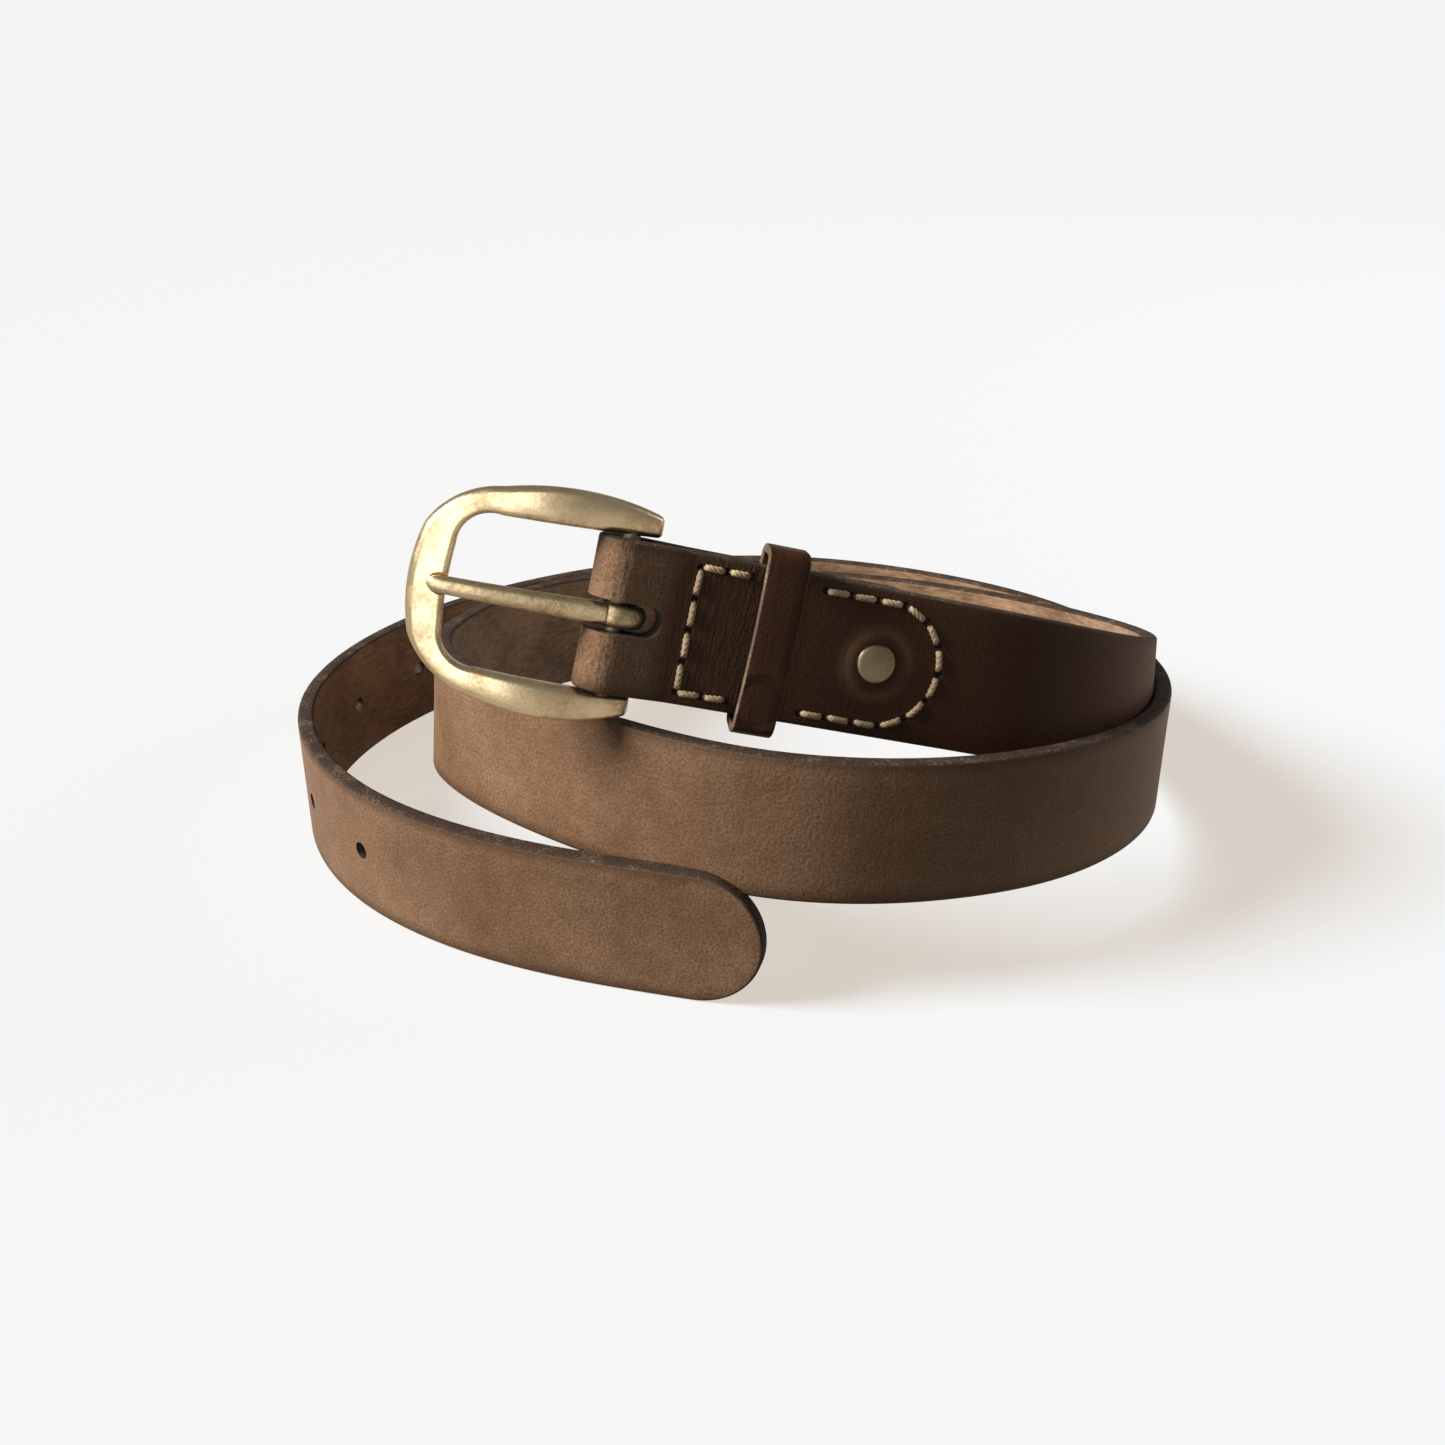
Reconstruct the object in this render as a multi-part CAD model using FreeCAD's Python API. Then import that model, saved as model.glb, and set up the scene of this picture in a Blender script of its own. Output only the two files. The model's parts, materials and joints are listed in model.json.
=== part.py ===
"""Leather belt, rolled up in two laps and standing on its lower edge, with its buckle resting on top.

The strap is one piece of leather: its tip lies outside at the front, the strap runs clockwise round the
floor, climbs over its own tip, makes a smaller second lap inside the first and ends in a straight,
doubled stretch that is folded round the buckle's bar, stitched and riveted.

Two frames are used. The coil is drawn from above, round the coil's middle. The buckle end is drawn flat:
X runs from the bar along the strap, Y across the strap's width and Z out of its grain face.
"""
import FreeCAD, Part
import math
import os
from FreeCAD import Matrix, Placement, Rotation, Vector

# Strap
strap_width = 30.0
strap_thickness = 3.8
lap_clearance = 1.2             # least air between two laps that pass side by side
tip_radius = strap_width / 2    # the tip is a full round

# Coil, at equal steps clockwise from the tip
coil_step = 30.0                # degrees
tip_direction = -85.0           # degrees, from the coil's middle to the tip
first_lap_radius = [98.0, 92.5, 99.0, 103.5, 98.5, 94.0, 96.0, 100.5, 106.0, 108.0, 106.5, 100.5]
second_lap_room = [0.0, 5.7, 18.3, 33.3, 32.3, 24.3, 18.8, 13.3, 7.3, 0.0, 0.0, 9.1]
floor_steps = 7                 # the first lap stands on the floor for this many steps
# Height of the lower edge after the floor stretch, in strap widths, and how far the top leans in, degrees
edge_heights = [0.0, 0.04, 0.18, 0.41, 0.65, 0.83, 0.92, 0.86, 0.64, 0.47, 0.30, 0.15, 0.08, 0.13, 0.39,
                0.94, 1.55]
edge_leans = [0.0, 0.0, 0.0, 0.0, 4.0, 7.0, 8.0, 6.0, 3.0, 0.0, 0.0, 0.0, 0.0, 0.0, 1.0, 5.0, 11.0]
sections_per_step = 4

# Straight end that carries the buckle
end_length = 72.8               # from the last bend to the bar's axis
end_heading = 188.2             # degrees, seen from above
end_climb = 14.0                # degrees
flap_length = 68.0              # turned-back leather, from the bar's axis
fold_length = 12.0              # the two layers come together here
slot_width = 6.5
slot_reach = 8.4                # past the bar's axis

# Adjustment holes
hole_diameter = 4.0
hole_spacing = 28.0
hole_count = 5
first_hole = 97.0               # from the tip

# Buckle
bar_diameter = 4.0
bar_grip = 3.4                  # how deep the bar sits in each arm
hinge_clearance = 0.05          # radial, of the leather and the tongue on the bar
frame_side_gap = 0.7            # between the strap's edge and each arm
frame_opening = 33.0            # from the bar's axis to the rail
frame_taper = 1.0               # the opening is this much lower, each side, beside the rail
frame_thickness = 4.2
frame_bow = 3.0                 # the frame arches forward between bar and rail
arm_width = 6.4
arm_end_width = 4.0
arm_reach = 6.2                 # past the bar's axis
rail_width = 7.3
tongue_width = 4.0
tongue_height = 3.0
tongue_ring_wall = 2.0
tongue_ring_width = 5.0
tongue_rest = 3.6               # how far the tongue lies on the rail
tongue_tilt = 2.0               # degrees, forward
notch_clearance = 0.2

# Keeper
keeper_width = 8.4
keeper_place = 30.3             # its middle, from the bar's axis
keeper_thickness = 1.8
keeper_front_room = 4.3         # for the tip of the belt
keeper_top_room = 3.6           # above the strap's upper edge
keeper_bottom_room = 2.3        # below its lower edge
keeper_fit = 0.1
keeper_travel = 1.2             # each way

# Rivet
rivet_place = 53.0              # from the bar's axis
rivet_cap_diameter = 8.0
rivet_cap_height = 1.2
rivet_post_diameter = 3.4
rivet_back_diameter = 7.0

# Stitching
thread_diameter = 1.1
stitch_inset = 2.6              # from the strap's edge
stitch_share = 0.75             # of each pitch that shows
buckle_row_place = 14.0         # the row beside the bar, from the bar's axis
buckle_row_leg = 10.4           # its two short legs, towards the keeper
leg_stitches = 2
cross_stitches = 4
flap_row_leg = 14.0             # the long row's legs, from the rivet towards the keeper
flap_stitches = 12

# Worked out from the sizes above
half_width = strap_width / 2
bar_radius = bar_diameter / 2
fold_bore = bar_radius + hinge_clearance
fold_radius = fold_bore + strap_thickness
frame_half_opening = half_width + frame_side_gap
overlap = 1.0                   # cutters run past a face by this much
up = Vector(0, 0, 1)


def coil_point(step):
    """Middle of the leather at one step of the coil, with its lower edge at the right height."""
    lap_step = step % len(first_lap_radius)
    radius = first_lap_radius[lap_step]
    if step != lap_step:
        radius -= strap_thickness + lap_clearance + second_lap_room[lap_step]
    angle = math.radians(tip_direction - coil_step * step)
    rise = 0.0
    lean = 0.0
    if step > floor_steps:
        rise = edge_heights[step - floor_steps] * strap_width
        lean = math.radians(edge_leans[step - floor_steps])
    return Vector(radius * math.cos(angle), radius * math.sin(angle), rise + half_width * math.cos(lean))


def smooth_curve(points, start, end):
    """Curve through the points that leaves the first and reaches the last in the directions given."""
    curve = Part.BSplineCurve()
    curve.interpolate(Points=points, InitialTangent=start, FinalTangent=end, Scale=False)
    return curve


def section_axes(tangent, lean):
    """Directions across the width and out of the grain face, for a strap that runs along the tangent."""
    outward = up.cross(tangent).normalize()
    upright = tangent.cross(outward).normalize()
    angle = math.radians(lean)
    across = upright * math.cos(angle) - outward * math.sin(angle)
    return across, across.cross(tangent).normalize()


def placed(point, x_axis, y_axis, z_axis):
    """Placement that puts the flat drawing's axes on the three directions at the point."""
    return Placement(Matrix(x_axis.x, y_axis.x, z_axis.x, point.x,
                            x_axis.y, y_axis.y, z_axis.y, point.y,
                            x_axis.z, y_axis.z, z_axis.z, point.z,
                            0, 0, 0, 1))


def end_direction():
    """Direction of the straight end, towards the buckle."""
    heading, climb = math.radians(end_heading), math.radians(end_climb)
    return Vector(math.cos(heading) * math.cos(climb), math.sin(heading) * math.cos(climb), math.sin(climb))


def buckle_placement():
    """Where the flat drawing of the buckle end lies: its origin is the middle of the bar."""
    direction = end_direction()
    across, outward = section_axes(direction, edge_leans[-1])
    last = coil_point(floor_steps + len(edge_heights) - 1)
    middle = last + direction * end_length - outward * (strap_thickness / 2)
    return placed(middle, direction * -1, across, outward)


def box(x_range, y_range, z_range):
    """Box between two limits on each axis."""
    size = [limits[1] - limits[0] for limits in (x_range, y_range, z_range)]
    return Part.makeBox(*size, Vector(x_range[0], y_range[0], z_range[0]))


def cylinder(diameter, start, axis, length):
    """Cylinder that starts at a point."""
    return Part.makeCylinder(diameter / 2, length, start, axis)


def face_of(edges):
    """Flat face inside a closed row of edges."""
    return Part.Face(Part.Wire(edges))


def line(start, end):
    """Straight edge."""
    return Part.LineSegment(start, end).toShape()


def arc(start, middle, end):
    """Round edge through three points."""
    return Part.Arc(start, middle, end).toShape()


def floor_curve():
    """Middle line of the stretch that stands on the floor, and its direction where it leaves the floor."""
    leaving = coil_point(floor_steps + 1) - coil_point(floor_steps - 1)
    leaving.z = 0
    leaving.normalize()
    points = [coil_point(step) for step in range(floor_steps + 1)]
    return smooth_curve(points, (points[1] - points[0]).normalize(), leaving), leaving


def floor_stretch():
    """Tip and first part of the first lap: upright leather with a flat lower edge, and its holes."""
    curve, leaving = floor_curve()
    first, last = curve.FirstParameter, curve.LastParameter
    count = floor_steps * sections_per_step
    sides = {1: [], -1: []}
    for index in range(count + 1):
        at = first + (last - first) * index / count
        _, outward = section_axes(curve.tangent(at)[0], 0)
        for side in sides:
            point = curve.value(at) + outward * (side * strap_thickness / 2)
            sides[side].append(Vector(point.x, point.y, 0))
    starting = (sides[1][1] - sides[1][0]).normalize()
    outer, inner = (smooth_curve(sides[side], starting, leaving).toShape() for side in (1, -1))
    plan = face_of([outer, line(sides[1][-1], sides[-1][-1]), inner, line(sides[-1][0], sides[1][0])])
    leather = plan.extrude(up * strap_width)

    edge = curve.toShape()

    def at_length(length):
        """Placement on the strap, a length from the tip: X towards the tip, Z out of its grain face."""
        at = edge.getParameterByLength(length)
        tangent = curve.tangent(at)[0]
        across, outward = section_axes(tangent, 0)
        return placed(curve.value(at), tangent * -1, across, outward)

    deep = 2 * strap_thickness
    corner = box((0, tip_radius + overlap), (-half_width - overlap, half_width + overlap), (-deep, deep))
    corner = corner.cut(cylinder(2 * tip_radius, Vector(0, 0, -2 * deep), up, 4 * deep))
    corner.Placement = at_length(tip_radius)
    leather = leather.cut(corner)
    for index in range(hole_count):
        hole = cylinder(hole_diameter, Vector(0, 0, -deep), up, 2 * deep)
        hole.Placement = at_length(first_hole + index * hole_spacing)
        leather = leather.cut(hole)
    return leather


def climbing_stretch():
    """The rest of the coil, from where the strap leaves the floor to the straight end."""
    _, leaving = floor_curve()
    steps = len(edge_heights) - 1
    points = [coil_point(floor_steps + step) for step in range(steps + 1)]
    curve = smooth_curve(points, leaving, end_direction())
    knots = [curve.parameter(point) for point in points]
    wires = []
    for index in range(steps * sections_per_step + 1):
        step, share = index // sections_per_step, index % sections_per_step / sections_per_step
        following = min(step + 1, steps)
        at = knots[step] + (knots[following] - knots[step]) * share
        ease = share * share * (3 - 2 * share)
        lean = edge_leans[step] + (edge_leans[following] - edge_leans[step]) * ease
        middle = curve.value(at)
        across, outward = section_axes(curve.tangent(at)[0], lean)
        across, outward = across * half_width, outward * (strap_thickness / 2)
        corners = [middle - across + outward, middle + across + outward,
                   middle + across - outward, middle - across - outward]
        wires.append(Part.makePolygon(corners + corners[:1]))
    return Part.makeLoft(wires, True, False)


def tangent_point(point, radius):
    """Where the line from a point touches a circle round the origin, on the side of +Z."""
    distance = math.hypot(point.x, point.z)
    angle = math.atan2(point.z, point.x) + math.acos(radius / distance)
    return Vector(radius * math.cos(angle), point.y, radius * math.sin(angle))


def doubled_end():
    """Straight end: the front layer, the fold round the bar and the turned-back flap."""
    low = -half_width

    def at(x, z):
        """Point on the lower edge's plane."""
        return Vector(x, low, z)

    def mirrored(point):
        """The same point behind the middle plane."""
        return Vector(point.x, point.y, -point.z)

    meet = at(fold_length, strap_thickness)
    touch = tangent_point(meet, fold_radius)
    outline = face_of([
        line(at(end_length, strap_thickness), meet), line(meet, touch),
        arc(touch, at(-fold_radius, 0), mirrored(touch)), line(mirrored(touch), mirrored(meet)),
        line(mirrored(meet), at(flap_length, -strap_thickness)),
        line(at(flap_length, -strap_thickness), at(flap_length, 0)),
        line(at(flap_length, 0), at(end_length, 0)),
        line(at(end_length, 0), at(end_length, strap_thickness))])
    leather = outline.extrude(Vector(0, strap_width, 0))

    point = at(fold_length - fold_bore, 0)
    touch = tangent_point(point, fold_bore)
    bore = face_of([line(point, touch), arc(touch, at(-fold_bore, 0), mirrored(touch)),
                    line(mirrored(touch), point)])
    leather = leather.cut(bore.extrude(Vector(0, strap_width, 0)))

    deep = 2 * fold_radius
    slot_end = slot_reach - slot_width / 2
    slot = box((-deep, slot_end), (-slot_width / 2, slot_width / 2), (-deep, deep))
    slot = slot.fuse(cylinder(slot_width, Vector(slot_end, 0, -deep), up, 2 * deep))
    leather = leather.cut(slot)

    round_middle = flap_length - half_width
    corner = box((round_middle, flap_length + overlap), (low - overlap, half_width + overlap), (-deep, 0))
    corner = corner.cut(cylinder(strap_width, Vector(round_middle, 0, -deep), up, deep))
    leather = leather.cut(corner)

    reach = keeper_width / 2 + keeper_travel + keeper_fit
    channel = box((keeper_place - reach, keeper_place + reach), (low - overlap, half_width + overlap),
                  (-keeper_thickness - 2 * keeper_fit, 0))
    leather = leather.cut(channel)
    return leather.cut(cylinder(rivet_post_diameter, Vector(rivet_place, 0, -deep), up, 2 * deep))


def strap():
    """The whole strap, one piece of leather."""
    end = doubled_end()
    end.Placement = buckle_placement()
    return floor_stretch().fuse([climbing_stretch(), end]).removeSplitter()


def frame_outline():
    """Flat face of the buckle frame, seen from the front."""
    rail = -frame_opening - rail_width
    widest = frame_half_opening + arm_width
    end_half = frame_half_opening + arm_end_width
    shoulder = Vector(-0.64 * frame_opening - arm_end_width, widest - arm_width / 3, 0)
    cheek = Vector(rail + 1.6, 0.48 * widest, 0)
    bend = Vector(rail + 0.88 * rail_width, 0.745 * widest, 0)

    def below(point):
        """The same point on the lower arm."""
        return Vector(point.x, -point.y, 0)

    tip = Vector(arm_reach, end_half, 0)
    crest = Vector(-0.3 * frame_opening, widest, 0)
    outer = [arc(tip, crest, shoulder), arc(shoulder, bend, cheek),
             arc(cheek, Vector(rail, 0, 0), below(cheek)), arc(below(cheek), below(bend), below(shoulder)),
             arc(below(shoulder), below(crest), below(tip))]
    mouth = Vector(arm_reach, frame_half_opening, 0)
    corner = Vector(-frame_opening + 8.0, frame_half_opening - frame_taper, 0)
    inner_bend = Vector(-frame_opening + 2.4, frame_half_opening - frame_taper - 1.7, 0)
    inner_cheek = Vector(-frame_opening + 0.4, 0.5 * frame_half_opening, 0)
    inner = [line(below(mouth), below(corner)), arc(below(corner), below(inner_bend), below(inner_cheek)),
             arc(below(inner_cheek), Vector(-frame_opening, 0, 0), inner_cheek),
             arc(inner_cheek, inner_bend, corner), line(corner, mouth)]
    return face_of(outer + [line(below(tip), below(mouth))] + inner + [line(mouth, tip)])


def arched_slab():
    """Bowed plate, as thick as the frame, that the outline is cut from."""
    reach = 2 * frame_half_opening + 4 * arm_width

    def bowed(x, offset):
        """Point of the arch at a place along the frame."""
        middle = -frame_opening / 2
        height = frame_bow * (1 - ((x - middle) / middle) ** 2)
        return Vector(x, -reach / 2, height + offset)

    left, right = -frame_opening - rail_width - overlap, arm_reach + overlap
    half = frame_thickness / 2
    stations = (left, -frame_opening / 2, right)
    front = [bowed(x, half) for x in stations]
    back = [bowed(x, -half) for x in stations]
    side = face_of([arc(*front), line(front[-1], back[-1]), arc(*reversed(back)), line(back[0], front[0])])
    return side.extrude(Vector(0, reach, 0))


def tongue_shape(clearance=0.0):
    """Tongue at rest: a flat-backed, round-topped shank on a ring. The clearance widens only the shank."""
    length = frame_opening + tongue_rest + clearance
    half = tongue_width / 2 + clearance
    ring_radius = fold_bore + tongue_ring_wall
    back = ring_radius - tongue_height
    shoulder = back + tongue_height * 0.45
    top = ring_radius + clearance
    profile = face_of([
        line(Vector(0, -half, back), Vector(0, half, back)),
        line(Vector(0, half, back), Vector(0, half, shoulder)),
        arc(Vector(0, half, shoulder), Vector(0, 0, top), Vector(0, -half, shoulder)),
        line(Vector(0, -half, shoulder), Vector(0, -half, back))])
    shank = profile.extrude(Vector(-length, 0, 0))
    shank.rotate(Vector(0, 0, 0), Vector(0, 1, 0), tongue_tilt)
    return shank


def tongue():
    """Tongue that turns on the bar and rests in the rail's notch."""
    ring_radius = fold_bore + tongue_ring_wall
    start = Vector(0, -tongue_ring_width / 2, 0)
    ring = cylinder(2 * ring_radius, start, Vector(0, 1, 0), tongue_ring_width)
    bore = cylinder(2 * fold_bore, start, Vector(0, 1, 0), tongue_ring_width)
    return tongue_shape().fuse(ring).cut(bore).removeSplitter()


def bar_pin():
    """Steel bar, pressed into the ends of both arms."""
    half = frame_half_opening + bar_grip
    return cylinder(bar_diameter, Vector(0, -half, 0), Vector(0, 1, 0), 2 * half)


def buckle_frame():
    """Bowed brass frame, open on the bar's side, with a notch for the tongue."""
    depth = 4 * (frame_thickness + frame_bow)
    plate = frame_outline().extrude(Vector(0, 0, depth))
    plate.translate(Vector(0, 0, -depth / 2))
    frame = plate.common(arched_slab())
    return frame.cut(tongue_shape(notch_clearance)).cut(bar_pin())


def keeper():
    """Leather loop: its front band stands off the strap, its back band runs in the channel between layers."""
    width = (keeper_place - keeper_width / 2, keeper_place + keeper_width / 2)
    low, high = -half_width - keeper_bottom_room, half_width + keeper_top_room
    front = strap_thickness + keeper_front_room
    loop = box(width, (low - keeper_thickness, high + keeper_thickness),
               (-keeper_fit - keeper_thickness, front + keeper_thickness))
    long_edges = [edge for edge in loop.Edges if abs(edge.Vertexes[0].X - edge.Vertexes[-1].X) > overlap]
    loop = loop.makeFillet(0.8 * keeper_thickness, long_edges)
    return loop.cut(box((width[0] - overlap, width[1] + overlap), (low, high), (-keeper_fit, front)))


def rivet_cap():
    """Domed cap in front, in one piece with the post that goes through both layers."""
    radius = rivet_cap_diameter / 2
    sphere_radius = (radius ** 2 + rivet_cap_height ** 2) / (2 * rivet_cap_height)
    centre = Vector(rivet_place, 0, strap_thickness + rivet_cap_height - sphere_radius)
    dome = Part.makeSphere(sphere_radius, centre)
    above = box((rivet_place - radius, rivet_place + radius), (-radius, radius),
                (strap_thickness, strap_thickness + rivet_cap_height + overlap))
    start = Vector(rivet_place, 0, -strap_thickness)
    return dome.common(above).fuse(cylinder(rivet_post_diameter, start, up, 2 * strap_thickness))


def rivet_back():
    """Flat washer-like cap that closes the rivet behind the flap."""
    start = Vector(rivet_place, 0, -strap_thickness - rivet_cap_height)
    return cylinder(rivet_back_diameter, start, up, rivet_cap_height)


def stitch(middle, direction, length):
    """One stitch: a short bar on the front face, one on the back face and a leg through the leather."""
    across = up.cross(direction)
    half = thread_diameter / 2
    pieces = []
    for face in (strap_thickness, -strap_thickness - thread_diameter):
        corner = middle - direction * (length / 2) - across * half + Vector(0, 0, face)
        edges = [corner, corner + direction * length, corner + direction * length + across * thread_diameter,
                 corner + across * thread_diameter]
        pieces.append(Part.Face(Part.makePolygon(edges + edges[:1])).extrude(Vector(0, 0, thread_diameter)))
    start = middle + direction * (length / 2 - half) + Vector(0, 0, -strap_thickness)
    leg = cylinder(thread_diameter, start, up, 2 * strap_thickness)
    return pieces[0].fuse([leg, pieces[1]])


def straight_row(start, end, count):
    """Stitches along a straight row."""
    run = end - start
    pitch = run.Length / count
    direction = Vector(run).normalize()
    return [stitch(start + direction * (pitch * (index + 0.5)), direction, pitch * stitch_share)
            for index in range(count)]


def buckle_stitching():
    """Thread of the row beside the bar, with a short leg along each edge."""
    half = half_width - stitch_inset
    near, far = buckle_row_place, buckle_row_place + buckle_row_leg
    stitches = straight_row(Vector(near, -half, 0), Vector(near, half, 0), cross_stitches)
    for side in (half, -half):
        stitches += straight_row(Vector(near, side, 0), Vector(far, side, 0), leg_stitches)
    return Part.makeCompound(stitches)


def flap_stitching():
    """Thread of the long row that follows the flap's round end and holds the keeper's side."""
    radius = half_width - stitch_inset
    bend = math.pi * radius
    pitch = (bend + 2 * flap_row_leg) / flap_stitches
    stitches = []
    for index in range(flap_stitches):
        travel = (index + 0.5) * pitch
        if travel <= flap_row_leg:
            place = Vector(rivet_place - flap_row_leg + travel, radius, 0)
            direction = Vector(1, 0, 0)
        elif travel >= flap_row_leg + bend:
            place = Vector(rivet_place - (travel - flap_row_leg - bend), -radius, 0)
            direction = Vector(-1, 0, 0)
        else:
            angle = math.pi / 2 - (travel - flap_row_leg) / radius
            place = Vector(rivet_place + radius * math.cos(angle), radius * math.sin(angle), 0)
            direction = Vector(math.sin(angle), -math.cos(angle), 0)
        stitches.append(stitch(place, direction, pitch * stitch_share))
    return Part.makeCompound(stitches)


def main():
    """Builds every piece, centres the belt over the origin and writes one file for each."""
    place = buckle_placement()
    pieces = {"strap": strap()}
    for name, build in (("buckle_frame", buckle_frame), ("bar_pin", bar_pin), ("tongue", tongue),
                        ("keeper", keeper), ("rivet_cap", rivet_cap), ("rivet_back", rivet_back),
                        ("buckle_stitching", buckle_stitching), ("flap_stitching", flap_stitching)):
        shape = build()
        shape.Placement = place
        pieces[name] = shape

    bounds = FreeCAD.BoundBox()
    for shape in pieces.values():
        bounds.add(shape.optimalBoundingBox(False))
    shift = Vector(-bounds.Center.x, -bounds.Center.y, -bounds.ZMin)
    os.makedirs("parts", exist_ok=True)
    for name, shape in pieces.items():
        shape.translate(shift)
        shape.exportStep(os.path.join("parts", name + ".step"))
        print(name, "solids", len(shape.Solids), "volume", round(shape.Volume, 1), "valid", shape.isValid())
    axes = [place.Rotation.multVec(axis) for axis in (Vector(1, 0, 0), Vector(0, 1, 0), Vector(0, 0, 1))]
    print("bar middle", [round(value, 3) for value in place.Base + shift])
    print("axes along, across, outward", [[round(value, 5) for value in axis] for axis in axes])
    print("size", [round(value, 2) for value in (bounds.XLength, bounds.YLength, bounds.ZLength)])


main()
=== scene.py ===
"""Leather belt rolled up in two laps on its edge: its leather, thread and metal, the light and the camera.

The strap is cut flat, like on a bench: X runs from the tip along the strap, Y across its width and Z out
of the grain face. It is then rolled along its middle line. The pieces at the buckle are modelled in the
buckle's own frame: X from the bar along the strap, Y across it and Z out of the grain face. All sizes are
in millimetres and turned into metres where a mesh is made.
"""
import json
import logging
import math
from dataclasses import dataclass, field
from enum import Enum
from typing import Callable, Iterable, Sequence, Union

import bmesh
import bpy
import numpy as np
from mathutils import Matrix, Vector


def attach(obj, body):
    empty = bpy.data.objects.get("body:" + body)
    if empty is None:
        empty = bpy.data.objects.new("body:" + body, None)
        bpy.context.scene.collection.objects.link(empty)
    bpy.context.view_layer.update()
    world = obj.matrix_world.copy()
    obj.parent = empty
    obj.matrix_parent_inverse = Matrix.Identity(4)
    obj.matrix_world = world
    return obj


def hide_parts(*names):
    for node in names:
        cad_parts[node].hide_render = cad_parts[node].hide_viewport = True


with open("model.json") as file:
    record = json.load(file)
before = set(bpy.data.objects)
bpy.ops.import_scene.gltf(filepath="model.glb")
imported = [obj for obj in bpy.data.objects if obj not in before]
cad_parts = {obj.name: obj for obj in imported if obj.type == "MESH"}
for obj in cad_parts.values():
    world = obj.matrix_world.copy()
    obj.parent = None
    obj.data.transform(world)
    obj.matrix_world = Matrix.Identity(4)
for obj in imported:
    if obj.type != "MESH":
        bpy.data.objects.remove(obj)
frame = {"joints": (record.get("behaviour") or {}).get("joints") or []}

MM = 0.001
HAIR = 0.000002
MANY_SIDED = 8
log = logging.getLogger("belt")
Colour = tuple[float, float, float]
Point = tuple[float, float]
Rule = Callable[[np.ndarray], np.ndarray]
Input = Union[float, bpy.types.NodeSocket]


# ------------------------------------------------------------------------------------------ mesh helpers
def clear_selection() -> None:
    """Leaves edit mode and deselects everything."""
    if bpy.context.mode != "OBJECT":
        bpy.ops.object.mode_set(mode="OBJECT")
    bpy.ops.object.select_all(action="DESELECT")


def only(piece: bpy.types.Object) -> None:
    """Selects one object and makes it active.

    Args:
        piece: The object.
    """
    clear_selection()
    piece.select_set(True)
    bpy.context.view_layer.objects.active = piece


def finish_name(piece: bpy.types.Object, name: str) -> bpy.types.Object:
    """Names an object and its mesh.

    Args:
        piece: The object.
        name: Its new name.

    Returns:
        The same object.
    """
    piece.name = name
    piece.data.name = name
    return piece


def pick(piece: bpy.types.Object, kind: str, wanted: Callable[[object], bool]) -> int:
    """Selects the mesh elements that a test accepts, in edit mode.

    Args:
        piece: The object in edit mode.
        kind: "verts", "edges" or "faces".
        wanted: The test, called with each element.

    Returns:
        How many elements were selected.
    """
    mode = {"verts": "VERT", "edges": "EDGE", "faces": "FACE"}[kind]
    bpy.ops.mesh.select_mode(type=mode)
    bpy.ops.mesh.select_all(action="DESELECT")
    mesh = bmesh.from_edit_mesh(piece.data)
    count = 0
    for element in getattr(mesh, kind):
        if wanted(element):
            element.select_set(True)
            count += 1
    mesh.select_flush_mode()
    bmesh.update_edit_mesh(piece.data)
    return count


def add_box(low: Sequence[float], high: Sequence[float]) -> bpy.types.Object:
    """Adds a box between two corners, in millimetres, and leaves it in edit mode.

    Args:
        low: The lowest corner.
        high: The highest corner.

    Returns:
        The box.
    """
    clear_selection()
    bpy.ops.mesh.primitive_cube_add(size=1.0)
    piece = bpy.context.object
    scale = [(high[i] - low[i]) * MM for i in range(3)]
    middle = [(high[i] + low[i]) / 2 * MM for i in range(3)]
    bpy.ops.object.mode_set(mode="EDIT")
    bpy.ops.mesh.select_all(action="SELECT")
    bpy.ops.transform.resize(value=scale)
    bpy.ops.transform.translate(value=middle)
    return piece


def bevel_edges(piece: bpy.types.Object, wanted: Callable[[bmesh.types.BMEdge], bool], width: float,
                segments: int) -> None:
    """Rounds the edges a test accepts. The object is in edit mode; the width is in millimetres.

    Args:
        piece: The object.
        wanted: The test, called with each edge.
        width: Width of the rounding.
        segments: How many facets it has.
    """
    pick(piece, "edges", wanted)
    bpy.ops.mesh.bevel(offset=width * MM, offset_type="OFFSET", segments=segments, affect="EDGES",
                       clamp_overlap=True)


def slice_along(axis: int, stations: Iterable[float]) -> None:
    """Cuts the mesh in edit mode across one axis at each station, in millimetres.

    Args:
        axis: 0, 1 or 2 for X, Y or Z.
        stations: Where the cuts lie.
    """
    normal = [0.0, 0.0, 0.0]
    normal[axis] = 1.0
    for station in stations:
        point = [0.0, 0.0, 0.0]
        point[axis] = station * MM
        bpy.ops.mesh.select_all(action="SELECT")
        bpy.ops.mesh.bisect(plane_co=point, plane_no=normal, threshold=HAIR)


def apply_modifier(piece: bpy.types.Object, kind: str, **settings: object) -> None:
    """Adds a modifier with the settings given and applies it.

    Args:
        piece: The object.
        kind: The type of the modifier.
        **settings: Its settings, by name.
    """
    only(piece)
    modifier = piece.modifiers.new(kind.lower(), kind)
    for key, value in settings.items():
        setattr(modifier, key, value)
    bpy.ops.object.modifier_apply(modifier=modifier.name)


def cut_away(piece: bpy.types.Object, cutter: bpy.types.Object) -> None:
    """Subtracts the cutter from the piece and removes the cutter.

    Args:
        piece: The object to cut.
        cutter: The shape that is taken away.
    """
    apply_modifier(piece, "BOOLEAN", object=cutter, operation="DIFFERENCE", solver="EXACT")
    mesh = cutter.data
    bpy.data.objects.remove(cutter)
    bpy.data.meshes.remove(mesh)


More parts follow.
